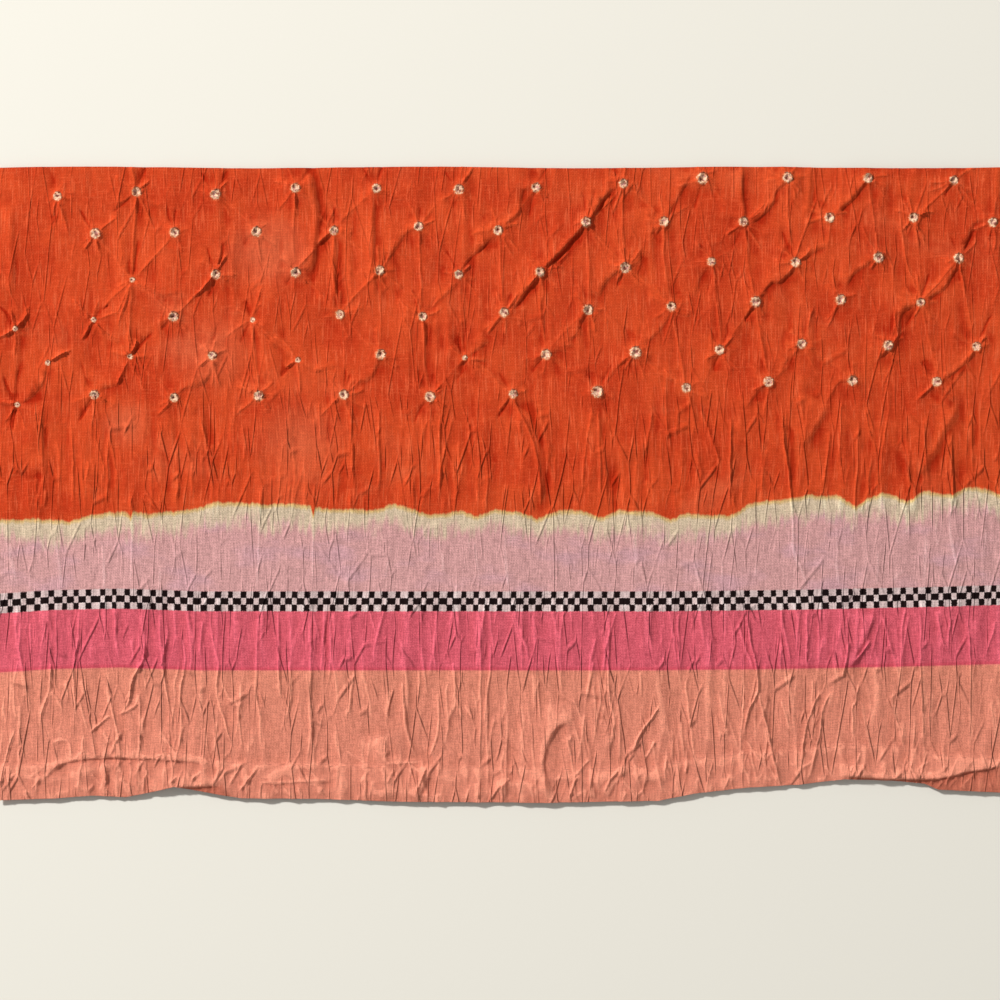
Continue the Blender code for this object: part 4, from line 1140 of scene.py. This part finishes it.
def cell_edges(vector):
    """Distance to the nearest edge in a net of uneven cells, one cell to each step of the vector."""
    node = cotton_nodes.new("ShaderNodeTexVoronoi")
    node.feature = 'DISTANCE_TO_EDGE'
    node.voronoi_dimensions = '2D'
    put(node.inputs["Vector"], vector)
    node.inputs["Scale"].default_value = 1.0
    return node.outputs["Distance"]


fine_crumple = noise(stretched(place, 0.9, 4.5), detail=3.0, roughness=0.55)
facets_near = work('MINIMUM', cell_edges(stretched(place, 3.6, 15.0)), 0.40)
pinches = ramp(cell_edges(stretched(place, 2.9, 14.0)), 0.0, 0.09, 1.0, 0.0)
pinched_here = ramp(noise(stretched(place, 5.0, 12.0), detail=1.0), 0.46, 0.66)
wide_pinches = ramp(cell_edges(stretched(place, 5.3, 23.0)), 0.0, 0.055, 1.0, 0.0)
pinched_wide = ramp(noise(stretched(place, 9.0, 19.0), detail=1.0), 0.44, 0.60)
bands_more = ramp(place_up, 2.0, 30.0, 1.0, 0.45)
in_strip = work('MULTIPLY', ramp(place_up, -28.0, -26.0), ramp(place_up, -8.0, -4.0, 1.0, 0.0))
bands_more = work('MULTIPLY', bands_more, work('MULTIPLY_ADD', in_strip, -0.45, 1.0))
raised = work('MULTIPLY', weave, WEAVE_HEIGHT)
raised = work('ADD', raised, work('MULTIPLY', streaks, STREAK_HEIGHT))
raised = work('ADD', raised, work('MULTIPLY', fine_crumple, CRUMPLE_HEIGHT))
crinkled = work('MULTIPLY', facets_near, -FACET_HEIGHT)
crinkled = work('ADD', crinkled, work('MULTIPLY', work('MULTIPLY', pinches, pinched_here), PINCH_HEIGHT))
wide_pinches = work('MULTIPLY', wide_pinches, pinched_wide)
crinkled = work('ADD', crinkled, work('MULTIPLY', wide_pinches, WIDE_PINCH_HEIGHT))
raised = work('ADD', raised, work('MULTIPLY', crinkled, bands_more))
bump = cotton_nodes.new("ShaderNodeBump")
bump.inputs["Strength"].default_value = 1.0
bump.inputs["Distance"].default_value = MM
put(bump.inputs["Height"], raised)
surface = cotton_nodes.new("ShaderNodeBsdfPrincipled")
put(surface.inputs["Base Color"], cloth_colour)
put(surface.inputs["Normal"], bump.outputs[0])
surface.inputs["Roughness"].default_value = COTTON_ROUGHNESS
surface.inputs["Specular IOR Level"].default_value = COTTON_SHINE
cotton_output = cotton_nodes.new("ShaderNodeOutputMaterial")
put(cotton_output.inputs["Surface"], surface.outputs[0])
sheet.data.materials.append(cotton)

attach(sheet, "root")
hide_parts("cloth")

# The hem's stitches
# Running stitches in salmon cotton thread, sewn by hand through both layers just below the hem's
# inner edge. They go in and out of the cloth, so only short lengths of thread show.

STITCH_LENGTH = 1.3
STITCH_PITCH = 3.1
STITCH_THICKNESS = 0.14
STITCH_INSET = 1.1
STITCH_SIDES = 6
STITCH_RINGS = 6
STITCH_SEED = 5
THREAD_ROUGHNESS = 0.8
THREAD_SHADE = colour(0.46, 0.145, 0.09)
THREAD_SALMON = colour(0.62, 0.205, 0.13)
stitch_draw = np.random.RandomState(STITCH_SEED)
stitch_mesh = bmesh.new()
stitch_count = int(CLOTH_WIDTH / STITCH_PITCH) - 1
for number in range(stitch_count):
    middle_x = -CLOTH_WIDTH / 2 + (number + 1) * STITCH_PITCH + stitch_draw.uniform(-0.3, 0.3)
    tilt = stitch_draw.normal(0.0, 0.1)
    length = STITCH_LENGTH * stitch_draw.uniform(0.8, 1.2)
    path_x = middle_x + length * np.linspace(-0.5, 0.5, STITCH_RINGS)
    inset = STITCH_INSET + 0.25 * math.sin(middle_x / 9.0)
    path_y = along_table(path_x, HEM_EDGE) + HEM_DEPTH - inset + tilt * (path_x - middle_x)
    lift = np.sin(np.linspace(0.0, math.pi, STITCH_RINGS)) * STITCH_THICKNESS - 0.5 * STITCH_THICKNESS
    path_z = at_points(cloth_z, path_x, path_y) + lift
    rings = []
    for x, y, z in zip(path_x, path_y, path_z):
        ring = []
        for side in range(STITCH_SIDES):
            turn = 2 * math.pi * side / STITCH_SIDES
            ring_y = y + STITCH_THICKNESS / 2 * math.cos(turn)
            ring_z = z + STITCH_THICKNESS / 2 * math.sin(turn)
            ring.append(stitch_mesh.verts.new((x * MM, ring_y * MM, ring_z * MM)))
        rings.append(ring)
    for first, second in zip(rings, rings[1:]):
        for side in range(STITCH_SIDES):
            after = (side + 1) % STITCH_SIDES
            stitch_mesh.faces.new((first[side], first[after], second[after], second[side]))
    stitch_mesh.faces.new(list(reversed(rings[0])))
    stitch_mesh.faces.new(rings[-1])
bmesh.ops.recalc_face_normals(stitch_mesh, faces=stitch_mesh.faces)
stitch_data = bpy.data.meshes.new("hem_stitches")
stitch_mesh.to_mesh(stitch_data)
stitch_mesh.free()
stitch_data.shade_smooth()
stitches = placed("hem_stitches", stitch_data)

thread = bpy.data.materials.new("salmon_thread")
thread.use_nodes = True
thread_nodes = thread.node_tree.nodes
thread_shader = thread_nodes["Principled BSDF"]
thread_shader.inputs["Roughness"].default_value = THREAD_ROUGHNESS
strands = thread_nodes.new("ShaderNodeTexWave")
strands.inputs["Scale"].default_value = 900.0
strands.inputs["Distortion"].default_value = 2.0
strand_colours = thread_nodes.new("ShaderNodeValToRGB")
strand_colours.color_ramp.elements[0].color = THREAD_SHADE
strand_colours.color_ramp.elements[1].color = THREAD_SALMON
thread_place = thread_nodes.new("ShaderNodeTexCoord")
thread.node_tree.links.new(thread_place.outputs["Object"], strands.inputs["Vector"])
thread.node_tree.links.new(strands.outputs["Fac"], strand_colours.inputs["Fac"])
thread.node_tree.links.new(strand_colours.outputs["Color"], thread_shader.inputs["Base Color"])
stitch_data.materials.append(thread)
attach(stitches, "root")

# The floor, the light and the camera
# A plain pale table top, one studio lamp from the upper left that gives the folds their shade,
# a pale sky for the fill, and a camera straight above.

FRAME_WIDTH = 250.0
LENS = 85.0
SENSOR = 36.0
CAMERA_Y = -3.9
CLOTH_LEVEL = 1.0
FLOOR_SIZE = 2.4
FLOOR_PAINT = colour(0.72, 0.69, 0.61)
FLOOR_ROUGHNESS = 0.9
LAMP_DISTANCE = 2.2
LAMP_SIZE = 0.20
LAMP_AZIMUTH = 140.0
LAMP_ELEVATION = 38.0
LAMP_POWER = 61.0
SKY_STRENGTH = 0.40
SKY_WHITE = colour(1.0, 1.0, 1.0)

floor_mesh = bpy.data.meshes.new("table_top")
half = FLOOR_SIZE / 2
floor_corners = [(-half, -half, 0), (half, -half, 0), (half, half, 0), (-half, half, 0)]
floor_mesh.from_pydata(floor_corners, [], [(0, 1, 2, 3)])
floor = placed("table_top", floor_mesh)
floor_paint = bpy.data.materials.new("pale_table")
floor_paint.use_nodes = True
floor_shader = floor_paint.node_tree.nodes["Principled BSDF"]
floor_shader.inputs["Base Color"].default_value = FLOOR_PAINT
floor_shader.inputs["Roughness"].default_value = FLOOR_ROUGHNESS
floor_mesh.materials.append(floor_paint)

lamp_data = bpy.data.lights.new("key_lamp", 'AREA')
lamp_data.shape = 'DISK'
lamp_data.size = LAMP_SIZE
lamp_data.energy = LAMP_POWER
lamp = placed("key_lamp", lamp_data)
azimuth = math.radians(LAMP_AZIMUTH)
elevation = math.radians(LAMP_ELEVATION)
lamp.location = (
    LAMP_DISTANCE * math.cos(elevation) * math.cos(azimuth),
    LAMP_DISTANCE * math.cos(elevation) * math.sin(azimuth),
    LAMP_DISTANCE * math.sin(elevation),
)
lamp.rotation_euler = (math.pi / 2 - elevation, 0.0, azimuth + math.pi / 2)

sky = bpy.data.worlds.new("pale_sky")
sky.use_nodes = True
sky.node_tree.nodes["Background"].inputs["Color"].default_value = SKY_WHITE
sky.node_tree.nodes["Background"].inputs["Strength"].default_value = SKY_STRENGTH
bpy.context.scene.world = sky

camera_data = bpy.data.cameras.new("camera")
camera_data.lens = LENS
camera_data.sensor_width = SENSOR
camera_data.clip_start = 0.01
camera = placed("camera", camera_data)
camera.location = (0.0, CAMERA_Y * MM, (FRAME_WIDTH * LENS / SENSOR + CLOTH_LEVEL) * MM)
bpy.context.scene.camera = camera
bpy.context.scene.view_settings.view_transform = 'Standard'
